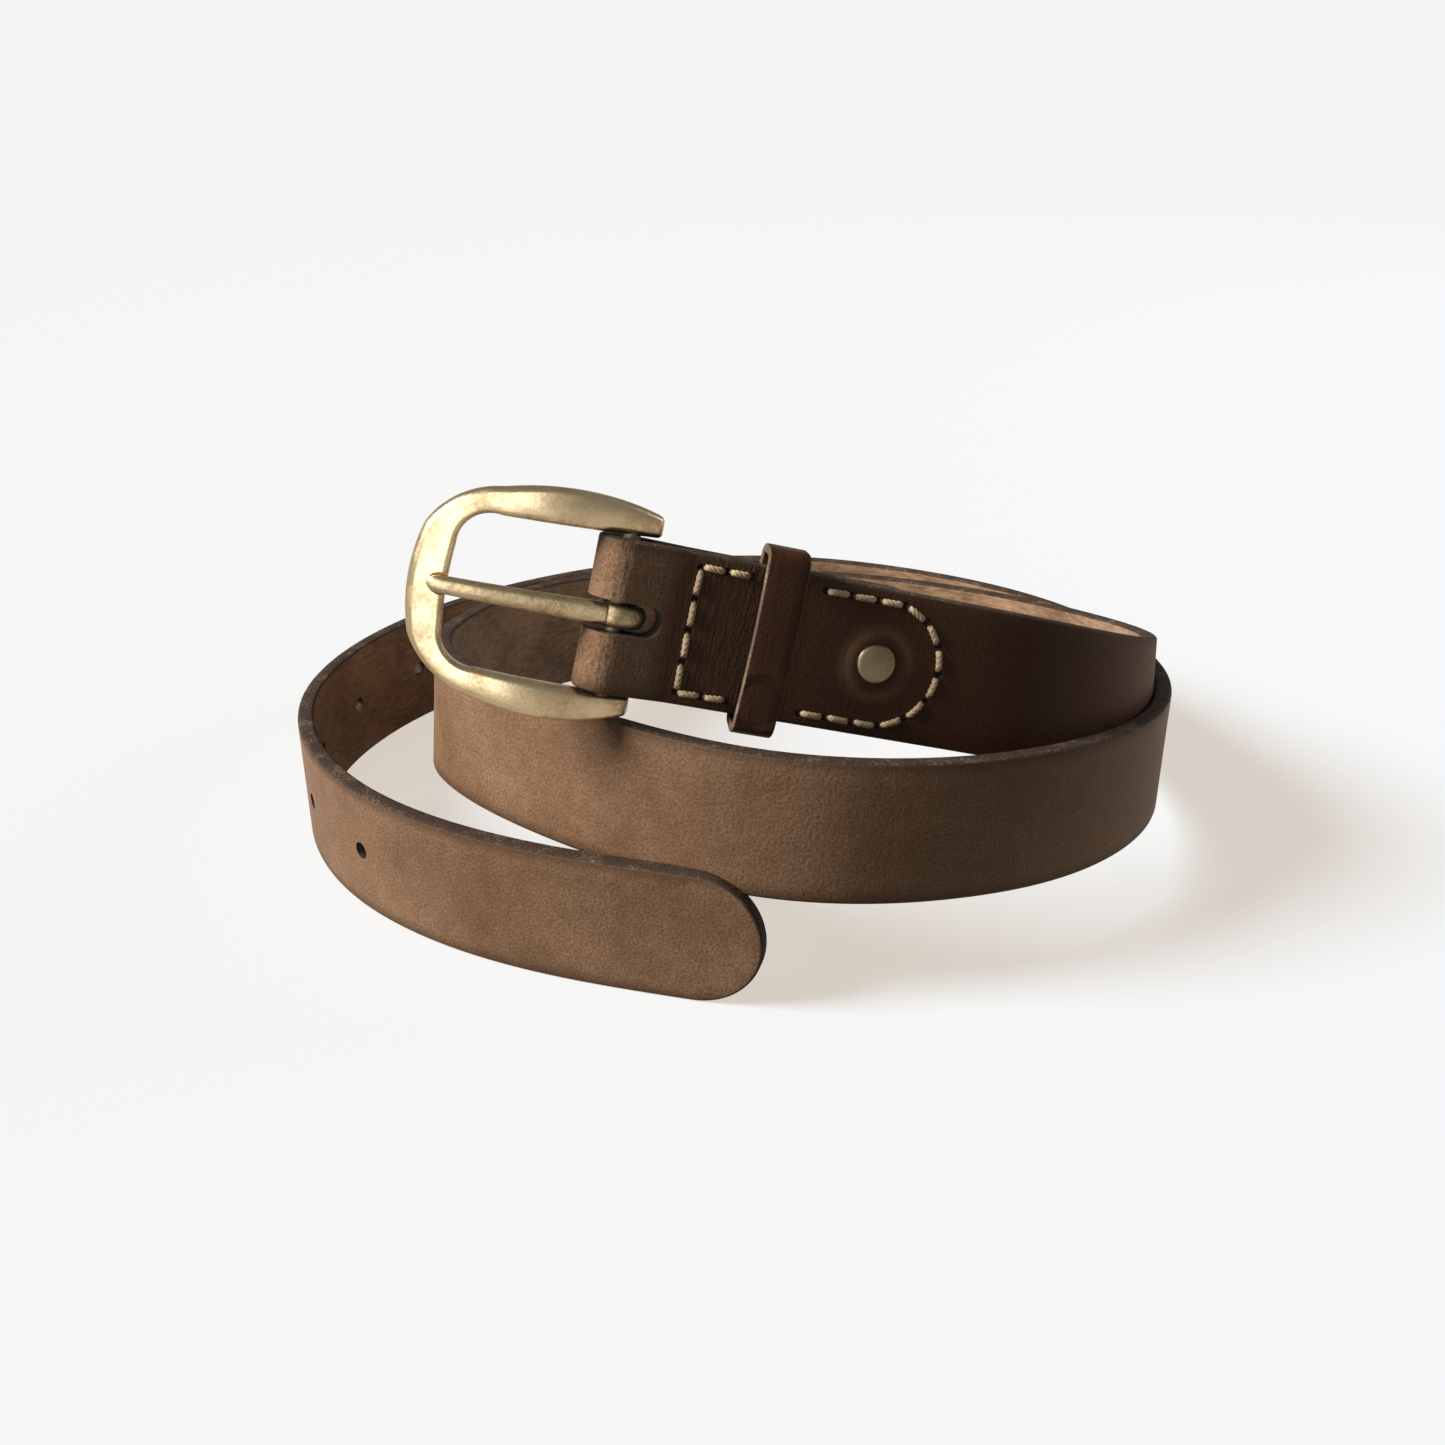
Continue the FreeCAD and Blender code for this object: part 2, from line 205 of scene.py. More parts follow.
def move_points(piece: bpy.types.Object, rule: Rule) -> None:
    """Moves every vertex by a rule that maps an (n, 3) array in millimetres to another.

    Args:
        piece: The object.
        rule: Maps the points to their new places.
    """
    mesh = piece.data
    points = np.empty(len(mesh.vertices) * 3)
    mesh.vertices.foreach_get("co", points)
    moved = rule(points.reshape(-1, 3) / MM) * MM
    mesh.vertices.foreach_set("co", moved.ravel())
    mesh.update()


def smooth_faces(piece: bpy.types.Object, angle: float = 35.0) -> None:
    """Smooths the shading, except over edges sharper than the angle."""
    only(piece)
    bpy.ops.object.shade_smooth_by_angle(angle=math.radians(angle))


def join(pieces: Sequence[bpy.types.Object], name: str) -> bpy.types.Object:
    """Joins several objects into one.

    Args:
        pieces: The objects; the first one stays.
        name: Name of the joined object.

    Returns:
        The joined object.
    """
    clear_selection()
    for piece in pieces:
        piece.select_set(True)
    bpy.context.view_layer.objects.active = pieces[0]
    bpy.ops.object.join()
    return finish_name(bpy.context.object, name)


def face_values(piece: bpy.types.Object, kind: str) -> np.ndarray:
    """One vector of every face.

    Args:
        piece: The object.
        kind: "normal" or "center".

    Returns:
        An (n, 3) array, with centres in metres.
    """
    values = np.empty(len(piece.data.polygons) * 3)
    piece.data.polygons.foreach_get(kind, values)
    return values.reshape(-1, 3)


def write_flat_map(piece: bpy.types.Object, rule: Rule) -> None:
    """Stores a UV map named flat, in metres, worked out from the vertices by a rule in millimetres.

    Args:
        piece: The object.
        rule: Maps the points to their place on the flat piece.
    """
    mesh = piece.data
    layer = mesh.uv_layers.get("flat") or mesh.uv_layers.new(name="flat")
    points = np.empty(len(mesh.vertices) * 3)
    mesh.vertices.foreach_get("co", points)
    values = rule(points.reshape(-1, 3) / MM) * MM
    corner = np.empty(len(mesh.loops), dtype=np.int32)
    mesh.loops.foreach_get("vertex_index", corner)
    layer.data.foreach_set("uv", values[corner].ravel())


def outward_normals(piece: bpy.types.Object) -> None:
    """Makes all faces point out of the solid.

    Args:
        piece: The object.
    """
    only(piece)
    bpy.ops.object.mode_set(mode="EDIT")
    bpy.ops.mesh.select_all(action="SELECT")
    bpy.ops.mesh.normals_make_consistent(inside=False)
    bpy.ops.object.mode_set(mode="OBJECT")


def ease(value: np.ndarray) -> np.ndarray:
    """Smooth step from 0 to 1 of values clipped to that range."""
    value = np.clip(value, 0.0, 1.0)
    return value * value * (3 - 2 * value)


# ------------------------------------------------------------------------------------------ where things lie
@dataclass
class BuckleFrame:
    """Where the buckle end lies: the middle of the bar and the three directions, read from the joints."""

    origin: np.ndarray = field(init=False)
    along: np.ndarray = field(init=False)
    across: np.ndarray = field(init=False)
    outward: np.ndarray = field(init=False)

    def __post_init__(self) -> None:
        """Reads the hinge's place and axis and the keeper's direction."""
        joints = {joint["name"]: joint for joint in frame["joints"]}
        self.origin = np.array(joints["frame_hinge"]["pos_m"]) / MM
        self.across = np.array(joints["frame_hinge"]["axis"])
        self.along = np.array(joints["keeper_slide"]["axis"])
        self.outward = np.cross(self.along, self.across)

    def world(self, points: np.ndarray) -> np.ndarray:
        """Points of the buckle's frame, in the belt's frame."""
        return self.origin + points @ np.array([self.along, self.across, self.outward])

    def fit(self, piece: bpy.types.Object, material: bpy.types.Material, angle: float) -> None:
        """Carries a piece modelled in the buckle's frame to the belt and gives it its one finish.

        Args:
            piece: The piece.
            material: Its finish.
            angle: Its edges sharper than this, in degrees, stay sharp.
        """
        move_points(piece, self.world)
        piece.data.materials.clear()
        piece.data.materials.append(material)
        smooth_faces(piece, angle)


@dataclass
class MiddleLine:
    """Middle line of the leather from the tip to the turned-back flap's end."""

    buckle: BuckleFrame
    width: float = 30.0
    thickness: float = 3.8
    lap_clearance: float = 1.2
    coil_step: float = 30.0
    tip_direction: float = -85.0
    first_lap: tuple[float, ...] = (98.0, 92.5, 99.0, 103.5, 98.5, 94.0, 96.0, 100.5, 106.0, 108.0,
                                    106.5, 100.5)
    second_lap_room: tuple[float, ...] = (0.0, 5.7, 18.3, 33.3, 32.3, 24.3, 18.8, 13.3, 7.3, 0.0, 0.0,
                                          9.1)
    floor_steps: int = 7
    heights: tuple[float, ...] = (0.0, 0.04, 0.18, 0.41, 0.65, 0.83, 0.92, 0.86, 0.64, 0.47, 0.30, 0.15, 0.08,
                                  0.13, 0.39, 0.94, 1.55)
    leans: tuple[float, ...] = (0.0, 0.0, 0.0, 0.0, 4.0, 7.0, 8.0, 6.0, 3.0, 0.0, 0.0, 0.0, 0.0, 0.0, 1.0,
                                5.0, 11.0)
    end_length: float = 72.8
    fold_length: float = 12.0
    flap_length: float = 68.0
    bar_hole: float = 2.05
    points_per_step: int = 40
    points_per_layer: int = 80
    points_to_touch: int = 24
    points_round_bar: int = 28

    def __post_init__(self) -> None:
        """Works out the line's points, its lengths and the direction across the strap at each point."""
        steps = self.floor_steps + len(self.heights)
        corners = np.array([self.coil_point(step) for step in range(steps)])
        leaving = corners[self.floor_steps + 1] - corners[self.floor_steps - 1]
        leaving[2] = 0.0
        leaving /= np.linalg.norm(leaving)
        starting = corners[1] - corners[0]
        starting /= np.linalg.norm(starting)
        floor = self.spline(corners[:self.floor_steps + 1], starting, leaving)
        climb = self.spline(corners[self.floor_steps:], leaving, -self.buckle.along)
        line = np.vstack([floor[0], climb[0][1:]])
        step = np.concatenate([floor[1], climb[1][1:] + self.floor_steps])
        tangent = np.gradient(line, axis=0)
        tangent /= np.linalg.norm(tangent, axis=1)[:, None]
        outward = np.cross([0.0, 0.0, 1.0], tangent)
        outward /= np.linalg.norm(outward, axis=1)[:, None]
        upright = np.cross(tangent, outward)
        lean = np.radians(self.lean_at(step))[:, None]
        across = upright * np.cos(lean) - outward * np.sin(lean)
        line += self.end_point() - line[-1]
        end, end_across = self.doubled_end()
        self.points = np.vstack([line, end[1:]])
        self.sideways = np.vstack([across, end_across[1:]])
        gaps = np.linalg.norm(np.diff(self.points, axis=0), axis=1)
        self.lengths = np.concatenate([[0.0], np.cumsum(gaps)])
        self.coil_length = self.lengths[len(line) - 1]
        self.total = self.lengths[-1]
        tangent = np.gradient(self.points, self.lengths, axis=0)
        tangent /= np.linalg.norm(tangent, axis=1)[:, None]
        self.out = np.cross(self.sideways, tangent)
        self.out /= np.linalg.norm(self.out, axis=1)[:, None]

    def coil_point(self, step: int) -> list[float]:
        """Middle of the leather at one step of the coil, from the coil's own middle.

        Args:
            step: Number of the step, counted from the tip.

        Returns:
            The three coordinates.
        """
        lap_step = step % len(self.first_lap)
        radius = self.first_lap[lap_step]
        if step != lap_step:
            radius -= self.thickness + self.lap_clearance + self.second_lap_room[lap_step]
        angle = math.radians(self.tip_direction - self.coil_step * step)
        index = max(0, step - self.floor_steps)
        rise, lean = self.heights[index] * self.width, math.radians(self.leans[index])
        return [radius * math.cos(angle), radius * math.sin(angle), rise + self.width / 2 * math.cos(lean)]

    def lean_at(self, step: np.ndarray) -> np.ndarray:
        """How far the top leans in, in degrees, eased between the steps.

        Args:
            step: Places on the coil, in steps.

        Returns:
            The lean at each place.
        """
        past = np.clip(step - self.floor_steps, 0, len(self.leans) - 1)
        index = np.minimum(past.astype(int), len(self.leans) - 2)
        leans = np.array(self.leans)
        return leans[index] + (leans[index + 1] - leans[index]) * ease(past - index)

    def spline(self, corners: np.ndarray, start: np.ndarray,
               end: np.ndarray) -> tuple[np.ndarray, np.ndarray]:
        """Smooth line through the corners with given first and last directions.

        Args:
            corners: The points to pass through.
            start: Direction at the first point.
            end: Direction at the last point.

        Returns:
            The line's points, and the step that each one lies at.
        """
        gap = np.linalg.norm(np.diff(corners, axis=0), axis=1)
        count = len(corners)
        system, slopes = np.zeros((count, count)), np.zeros((count, 3))
        system[0, 0] = system[-1, -1] = 1.0
        slopes[0], slopes[-1] = start, end
        for i in range(1, count - 1):
            before, after = gap[i - 1], gap[i]
            system[i, i - 1:i + 2] = [1 / before, 2 / before + 2 / after, 1 / after]
            slopes[i] = 3 * ((corners[i] - corners[i - 1]) / before ** 2
                             + (corners[i + 1] - corners[i]) / after ** 2)
        slope = np.linalg.solve(system, slopes)
        line, place = [corners[0]], [0.0]
        for i in range(count - 1):
            for share in np.linspace(0, 1, self.points_per_step + 1)[1:]:
                t, h = share, gap[i]
                line.append((2 * t ** 3 - 3 * t ** 2 + 1) * corners[i]
                            + (t ** 3 - 2 * t ** 2 + t) * h * slope[i]
                            + (3 * t ** 2 - 2 * t ** 3) * corners[i + 1]
                            + (t ** 3 - t ** 2) * h * slope[i + 1])
                place.append(i + share)
        return np.array(line), np.array(place)

    def end_point(self) -> np.ndarray:
        """Where the coil ends and the straight, doubled stretch begins."""
        return self.buckle.world(np.array([[self.end_length, 0.0, self.thickness / 2]]))[0]

    def doubled_end(self) -> tuple[np.ndarray, np.ndarray]:
        """Points of the straight front layer, the fold round the bar and the flap.

        Returns:
            The points, and the direction across the strap at each.
        """
        half, radius = self.thickness / 2, self.bar_hole + self.thickness / 2
        layer = self.points_per_layer
        start = math.atan2(half, self.fold_length) + math.acos(radius / math.hypot(self.fold_length, half))
        flat = [(x, half) for x in np.linspace(self.end_length, self.fold_length, layer)]
        leaving, touch = np.array(flat[-1]), radius * np.array([math.cos(start), math.sin(start)])
        flat += [tuple(leaving * (1 - s) + touch * s) for s in np.linspace(0, 1, self.points_to_touch)[1:]]
        flat += [(radius * math.cos(a), radius * math.sin(a))
                 for a in np.linspace(start, math.pi, self.points_round_bar)[1:]]
        flat += [(x, -z) for x, z in reversed(flat[layer - 1:-1])]
        flat += [(x, -half) for x in np.linspace(self.fold_length, self.flap_length, layer)[1:]]
        local = np.array([(x, 0.0, z) for x, z in flat])
        return self.buckle.world(local), np.tile(self.buckle.across, (len(local), 1))

    def front(self, x: float) -> float:
        """Length from the tip to a place on the straight front layer."""
        return self.coil_length + self.end_length - x

    def back(self, x: float) -> float:
        """Length from the tip to a place on the flap."""
        return self.total - (self.flap_length - x)

    @property
    def bar(self) -> float:
        """Length from the tip to the middle of the fold."""
        return (self.front(self.fold_length) + self.back(self.fold_length)) / 2

    def roll(self, flat: np.ndarray) -> np.ndarray:
        """Places points of the flat strap on the rolled belt.

        Args:
            flat: Points of the flat strap.

        Returns:
            The same points on the belt.
        """
        def at(values: np.ndarray) -> np.ndarray:
            """Values of the middle line at each point's length."""
            return np.stack([np.interp(flat[:, 0], self.lengths, values[:, i]) for i in range(3)], axis=1)

        return at(self.points) + at(self.sideways) * flat[:, 1:2] + at(self.out) * flat[:, 2:3]


# ------------------------------------------------------------------------------------------ finishes
class Ink:
    """Shorthand for building one material's nodes."""

    def __init__(self, tree: bpy.types.NodeTree) -> None:
        """Starts with an empty tree."""
        self.tree = tree
        tree.nodes.clear()

    def node(self, kind: str, **inputs: object) -> bpy.types.Node:
        """Adds a node; inputs are values or output sockets, keyed by socket name with _ for a space.

        Args:
            kind: Type of the node.
            **inputs: Values or outputs; set_NAME sets a property and iNUMBER is a numbered input.

        Returns:
            The node.
        """
        made = self.tree.nodes.new(kind)
        for key, value in inputs.items():
            if key.startswith("set_"):
                setattr(made, key[4:], value)
                continue
            numbered = key[0] == "i" and key[1:].isdigit()
            self.fill(made.inputs[int(key[1:]) if numbered else key.replace("_", " ")], value)
        return made

    def fill(self, socket: bpy.types.NodeSocket, value: object) -> None:
        """Gives an input its value, a colour without alpha its alpha, or links it to an output.

        Args:
            socket: The input.
            value: A number, a colour, a vector or an output socket.
        """
        if isinstance(value, bpy.types.NodeSocket):
            self.tree.links.new(value, socket)
        elif socket.type == "RGBA" and len(value) == 3:
            socket.default_value = (*value, 1.0)
        else:
            socket.default_value = value

    def math(self, operation: str, a: Input, b: Input = 0.0) -> bpy.types.NodeSocket:
        """One arithmetic node's output."""
        return self.node("ShaderNodeMath", set_operation=operation, i0=a, i1=b).outputs[0]

    def ramp(self, value: Input, low: float, high: float, to_low: float = 0.0,
             to_high: float = 1.0) -> bpy.types.NodeSocket:
        """A value carried from one range to another, clipped and eased.

        Args:
            value: The value.
            low: Start of its range.
            high: End of its range.
            to_low: Start of the range it is carried to.
            to_high: End of the range it is carried to.

        Returns:
            The output.
        """
        made = self.node("ShaderNodeMapRange", set_interpolation_type="SMOOTHSTEP", Value=value, From_Min=low,
                         From_Max=high, To_Min=to_low, To_Max=to_high)
        return made.outputs["Result"]

    def mix(self, factor: Input, a: object, b: object) -> bpy.types.NodeSocket:
        """Two colours mixed by a factor.

        Args:
            factor: How much of the second colour.
            a: The first colour.
            b: The second colour.

        Returns:
            The output.
        """
        made = self.tree.nodes.new("ShaderNodeMix")
        made.data_type, made.blend_type = "RGBA", "MIX"
        for index, value in zip((0, 6, 7), (factor, a, b)):
            self.fill(made.inputs[index], value)
        return made.outputs[2]

    def noise(self, vector: bpy.types.NodeSocket, scale: float, detail: float,
              rough: float) -> bpy.types.NodeSocket:
        """A noise node's value."""
        return self.node("ShaderNodeTexNoise", Vector=vector, Scale=scale, Detail=detail,
                         Roughness=rough).outputs["Fac"]

    def stretch(self, vector: bpy.types.NodeSocket, scale: Sequence[float]) -> bpy.types.NodeSocket:
        """A vector scaled by axis."""
        return self.node("ShaderNodeMapping", Vector=vector, Scale=scale).outputs["Vector"]


def new_group(name: str, inputs: Sequence[tuple[str, str]], outputs: Sequence[tuple[str, str]]
              ) -> tuple[bpy.types.NodeTree, Ink, bpy.types.Node, bpy.types.Node]:
    """Makes a shader node group.

    Args:
        name: The group's name.
        inputs: Name and socket type of each input.
        outputs: Name and socket type of each output.

    Returns:
        The group's tree, its Ink, its input node and its output node.
    """
    tree = bpy.data.node_groups.new(name, "ShaderNodeTree")
    ink = Ink(tree)
    for label, kind in inputs:
        tree.interface.new_socket(name=label, in_out="INPUT", socket_type=kind)
    for label, kind in outputs:
        tree.interface.new_socket(name=label, in_out="OUTPUT", socket_type=kind)
    return tree, ink, tree.nodes.new("NodeGroupInput"), tree.nodes.new("NodeGroupOutput")


def pore_group() -> bpy.types.NodeTree:
    """Leather grain: pores and fine creases as a height, and a mottle that varies the colour.

    Returns:
        The group, with outputs Height, Mottle and Speckle.
    """
    tree, ink, source, sink = new_group(
        "leather_pores", [("Vector", "NodeSocketVector"), ("Crease", "NodeSocketFloat")],
        [("Height", "NodeSocketFloat"), ("Mottle", "NodeSocketFloat"), ("Speckle", "NodeSocketFloat")])
    vector = source.outputs["Vector"]
    pores = ink.node("ShaderNodeTexVoronoi", Vector=vector, Scale=1500.0, Randomness=1.0).outputs["Distance"]
    fine = ink.noise(vector, 1700.0, 3.0, 0.65)
    broad = ink.noise(vector, 38.0, 5.0, 0.6)
    middle = ink.noise(vector, 260.0, 4.0, 0.6)
    creases = ink.noise(ink.stretch(vector, (1100.0, 210.0, 70.0)), 1.0, 4.0, 0.65)
    crease = ink.math("MULTIPLY", ink.ramp(creases, 0.35, 0.62), source.outputs["Crease"])
    height = ink.math("ADD", ink.math("MULTIPLY", pores, 0.5), ink.math("MULTIPLY", fine, 0.5))
    height = ink.math("ADD", height, ink.math("MULTIPLY", crease, 2.2))
    mottle = ink.math("ADD", ink.math("MULTIPLY", broad, 0.65), ink.math("MULTIPLY", middle, 0.35))
    tree.links.new(height, sink.inputs["Height"])
    tree.links.new(mottle, sink.inputs["Mottle"])
    tree.links.new(fine, sink.inputs["Speckle"])
    return tree


def patina_group() -> bpy.types.NodeTree:
    """Old brass: where the dark patina lies, and a fine cast texture as a height.

    Returns:
        The group, with outputs Dark and Height.
    """
    tree, ink, source, sink = new_group(
        "brass_patina", [("Vector", "NodeSocketVector")],
        [("Dark", "NodeSocketFloat"), ("Height", "NodeSocketFloat")])
    vector = source.outputs["Vector"]
    cloud = ink.noise(vector, 160.0, 6.0, 0.62)
    spots = ink.noise(vector, 1300.0, 4.0, 0.6)
    blend = ink.math("ADD", ink.math("MULTIPLY", cloud, 0.7), ink.math("MULTIPLY", spots, 0.3))
    dark = ink.ramp(blend, 0.42, 0.66)
    tree.links.new(dark, sink.inputs["Dark"])
    tree.links.new(spots, sink.inputs["Height"])
    return tree


def start_material(name: str) -> tuple[bpy.types.Material, Ink, bpy.types.Node]:
    """Makes a material with a Principled BSDF and its output.

    Args:
        name: Its name.

    Returns:
        The material, its Ink and the shader node.
    """
    material = bpy.data.materials.new(name)
    material.use_nodes = True
    ink = Ink(material.node_tree)
    shader = ink.node("ShaderNodeBsdfPrincipled")
    ink.node("ShaderNodeOutputMaterial", Surface=shader.outputs["BSDF"])
    return material, ink, shader


def set_inputs(ink: Ink, shader: bpy.types.Node, **inputs: object) -> None:
    """Fills a shader's sockets.

    Args:
        ink: The material's Ink.
        shader: The shader node.
        **inputs: A value or an output socket for each socket, by its name with _ for a space.
    """
    for label, value in inputs.items():
        ink.fill(shader.inputs[label.replace("_", " ")], value)


@dataclass(frozen=True)
class GrainLeather:
    """Full-grain leather face, darker along its edges and towards one end; the darker end is partly darker
    leather and partly painted shade.
    """

    name: str
    dark: Colour
    light: Colour
    end_dark_and_shade: Colour
    end_from: float
    end_to: float
    half_width: float
    rivet_at: tuple[float, float] = (-1.0, 0.0)
    worn_from: float = 5000.0
    worn_to: float = 6000.0
    crease_from: float = 5000.0
    crease_over: float = 7.0
    edge_band: float = 3.4
    dish_from: float = 4.0
    dish_to: float = 6.6
    ring_from: float = 6.0
    ring_to: float = 9.0
    roughness: float = 0.46

    def build(self, pores: bpy.types.NodeTree) -> bpy.types.Material:
        """Makes the material.

        Args:
            pores: The group of pores and creases.

        Returns:
            The material.
        """
        material, ink, shader = start_material(self.name)
        flat = ink.node("ShaderNodeUVMap", set_uv_map="flat").outputs["UV"]
        parts = ink.node("ShaderNodeSeparateXYZ", Vector=flat)
        along, across = parts.outputs["X"], parts.outputs["Y"]
        end = ink.ramp(along, self.end_from * MM, self.end_to * MM)
        crease = ink.ramp(along, self.crease_from * MM, (self.crease_from + self.crease_over) * MM, 0.06, 0.5)
        grain = ink.node("ShaderNodeGroup", set_node_tree=pores, Vector=flat, Crease=crease)
        colour = ink.mix(ink.ramp(grain.outputs["Mottle"], 0.25, 0.75), self.dark, self.light)
        # Painted shade: the end mix darkens the front lap's right part and the whole buckle end to near-black
        # brown, partly darker leather there and partly shade painted in. The worn mask below lifts the fold
        # back towards the light tone.
        colour = ink.mix(ink.math("MULTIPLY", end, 0.97), colour, self.end_dark_and_shade)
        worn = ink.ramp(along, self.worn_from * MM, self.worn_to * MM)
        worn = ink.math("MULTIPLY", worn, ink.ramp(grain.outputs["Mottle"], 0.3, 0.6, 0.55, 0.95))
        colour = ink.mix(worn, colour, self.light)
        speckle = ink.ramp(grain.outputs["Speckle"], 0.4, 0.6)
        colour = ink.mix(ink.math("MULTIPLY", speckle, 0.5), colour,
                         tuple(value * 0.45 for value in self.dark))
        edge = ink.ramp(ink.math("ABSOLUTE", across), (self.half_width - self.edge_band) * MM,
                        self.half_width * MM, 0.0, 0.72)
        colour = ink.mix(edge, colour, tuple(value * 0.35 for value in self.dark))
        from_rivet = ink.node("ShaderNodeVectorMath", set_operation="DISTANCE", i0=flat,
                              i1=(self.rivet_at[0] * MM, self.rivet_at[1] * MM, 0.0)).outputs["Value"]
        dish = ink.ramp(from_rivet, self.dish_from * MM, self.dish_to * MM)
        ring = ink.ramp(from_rivet, self.ring_from * MM, self.ring_to * MM, 1.0, 0.0)
        ring = ink.math("MULTIPLY", dish, ring)
        colour = ink.mix(ink.math("MULTIPLY", ring, 0.35), colour, self.light)
        rough = ink.ramp(grain.outputs["Mottle"], 0.3, 0.7, self.roughness - 0.07, self.roughness + 0.09)
        rough = ink.math("ADD", rough, ink.math("MULTIPLY", end, 0.12))
        small = ink.node("ShaderNodeBump", Strength=0.55, Distance=0.00016, Height=grain.outputs["Height"])
        large = ink.node("ShaderNodeBump", Strength=0.9, Distance=0.0006, Height=dish,
                         Normal=small.outputs["Normal"])
        set_inputs(ink, shader, Base_Color=colour, Roughness=rough, Normal=large.outputs["Normal"],
                   Specular_IOR_Level=0.2, Specular_Tint=(1.0, 0.76, 0.58))
        return material


@dataclass(frozen=True)
class FleshLeather:
    """Fibrous inner face of the leather."""

    name: str
    dark: Colour
    light: Colour

    def build(self) -> bpy.types.Material:
        """Makes the material.

        Returns:
            The material.
        """
        material, ink, shader = start_material(self.name)
        flat = ink.node("ShaderNodeUVMap", set_uv_map="flat").outputs["UV"]
        fibre = ink.noise(ink.stretch(flat, (260.0, 900.0, 1.0)), 1.0, 5.0, 0.7)
        cloud = ink.noise(flat, 45.0, 4.0, 0.6)
        nap = ink.noise(flat, 2200.0, 3.0, 0.6)
        blend = ink.math("ADD", ink.math("MULTIPLY", fibre, 0.5), ink.math("MULTIPLY", cloud, 0.5))
        colour = ink.mix(ink.ramp(blend, 0.34, 0.66), self.dark, self.light)
        height = ink.math("ADD", fibre, ink.math("MULTIPLY", nap, 0.7))
        bump = ink.node("ShaderNodeBump", Strength=0.8, Distance=0.00035, Height=height)
        set_inputs(ink, shader, Base_Color=colour, Normal=bump.outputs["Normal"], Roughness=0.88,
                   Specular_IOR_Level=0.25, Sheen_Weight=0.3, Sheen_Roughness=0.6)
        return material


@dataclass(frozen=True)
class CutEdge:
    """Cut and rubbed edge of the leather, with loose pale fibres."""

    name: str
    dark: Colour
    pale: Colour
    pale_share: float

    def build(self) -> bpy.types.Material:
        """Makes the material.

        Returns:
            The material.
        """
        material, ink, shader = start_material(self.name)
        place = ink.node("ShaderNodeTexCoord").outputs["Object"]
        fibre = ink.noise(place, 1500.0, 5.0, 0.7)
        patch = ink.noise(place, 190.0, 3.0, 0.6)
        worn = ink.ramp(ink.math("ADD", ink.math("MULTIPLY", fibre, 0.6), ink.math("MULTIPLY", patch, 0.4)),
                        0.62 - self.pale_share, 0.8 - self.pale_share)
        colour = ink.mix(worn, self.dark, self.pale)
        bump = ink.node("ShaderNodeBump", Strength=1.0, Distance=0.0005, Height=fibre)
        set_inputs(ink, shader, Base_Color=colour, Normal=bump.outputs["Normal"], Roughness=0.72,
                   Specular_IOR_Level=0.3)
        return material


@dataclass(frozen=True)
class AgedMetal:
    """Brass or steel with a patina."""

    name: str
    bright: Colour
    dark: Colour
    patina: float
    roughness: float
    bump: float

    def build(self, group: bpy.types.NodeTree) -> bpy.types.Material:
        """Makes the material.

        Args:
            group: The group of the patina.

        Returns:
            The material.
        """
        material, ink, shader = start_material(self.name)
        place = ink.node("ShaderNodeTexCoord").outputs["Object"]
        made = ink.node("ShaderNodeGroup", set_node_tree=group, Vector=place)
        share = ink.math("MULTIPLY", made.outputs["Dark"], self.patina)
        colour = ink.mix(share, self.bright, self.dark)
        rough = ink.ramp(made.outputs["Dark"], 0.0, 1.0, self.roughness, self.roughness + 0.16)
        bump = ink.node("ShaderNodeBump", Strength=self.bump, Distance=0.0002, Height=made.outputs["Height"])
        set_inputs(ink, shader, Base_Color=colour, Roughness=rough, Normal=bump.outputs["Normal"],
                   Metallic=1.0)
        return material


@dataclass(frozen=True)
class WaxedThread:
    """Twisted, waxed thread."""

    name: str
    dark: Colour
    light: Colour

    def build(self) -> bpy.types.Material:
        """Makes the material.

        Returns:
            The material.
        """
        material, ink, shader = start_material(self.name)
        flat = ink.node("ShaderNodeUVMap", set_uv_map="flat").outputs["UV"]
        fibre = ink.noise(ink.stretch(flat, (1200.0, 5000.0, 1.0)), 1.0, 4.0, 0.7)
        colour = ink.mix(ink.ramp(fibre, 0.35, 0.65), self.dark, self.light)
        bump = ink.node("ShaderNodeBump", Strength=0.7, Distance=0.0002, Height=fibre)
        set_inputs(ink, shader, Base_Color=colour, Normal=bump.outputs["Normal"], Roughness=0.6,
                   Sheen_Weight=0.25)
        return material


# ------------------------------------------------------------------------------------------ rows of stitches
class Row(Enum):
    """The two stitched rows, by the frame node that each stands for."""

    BUCKLE = "buckle_stitching"
    FLAP = "flap_stitching"


@dataclass
class Stitch:
    """One stitch: its middle, its direction in degrees and its length, in the buckle's frame."""

    x: float
    y: float
    turn: float
    length: float


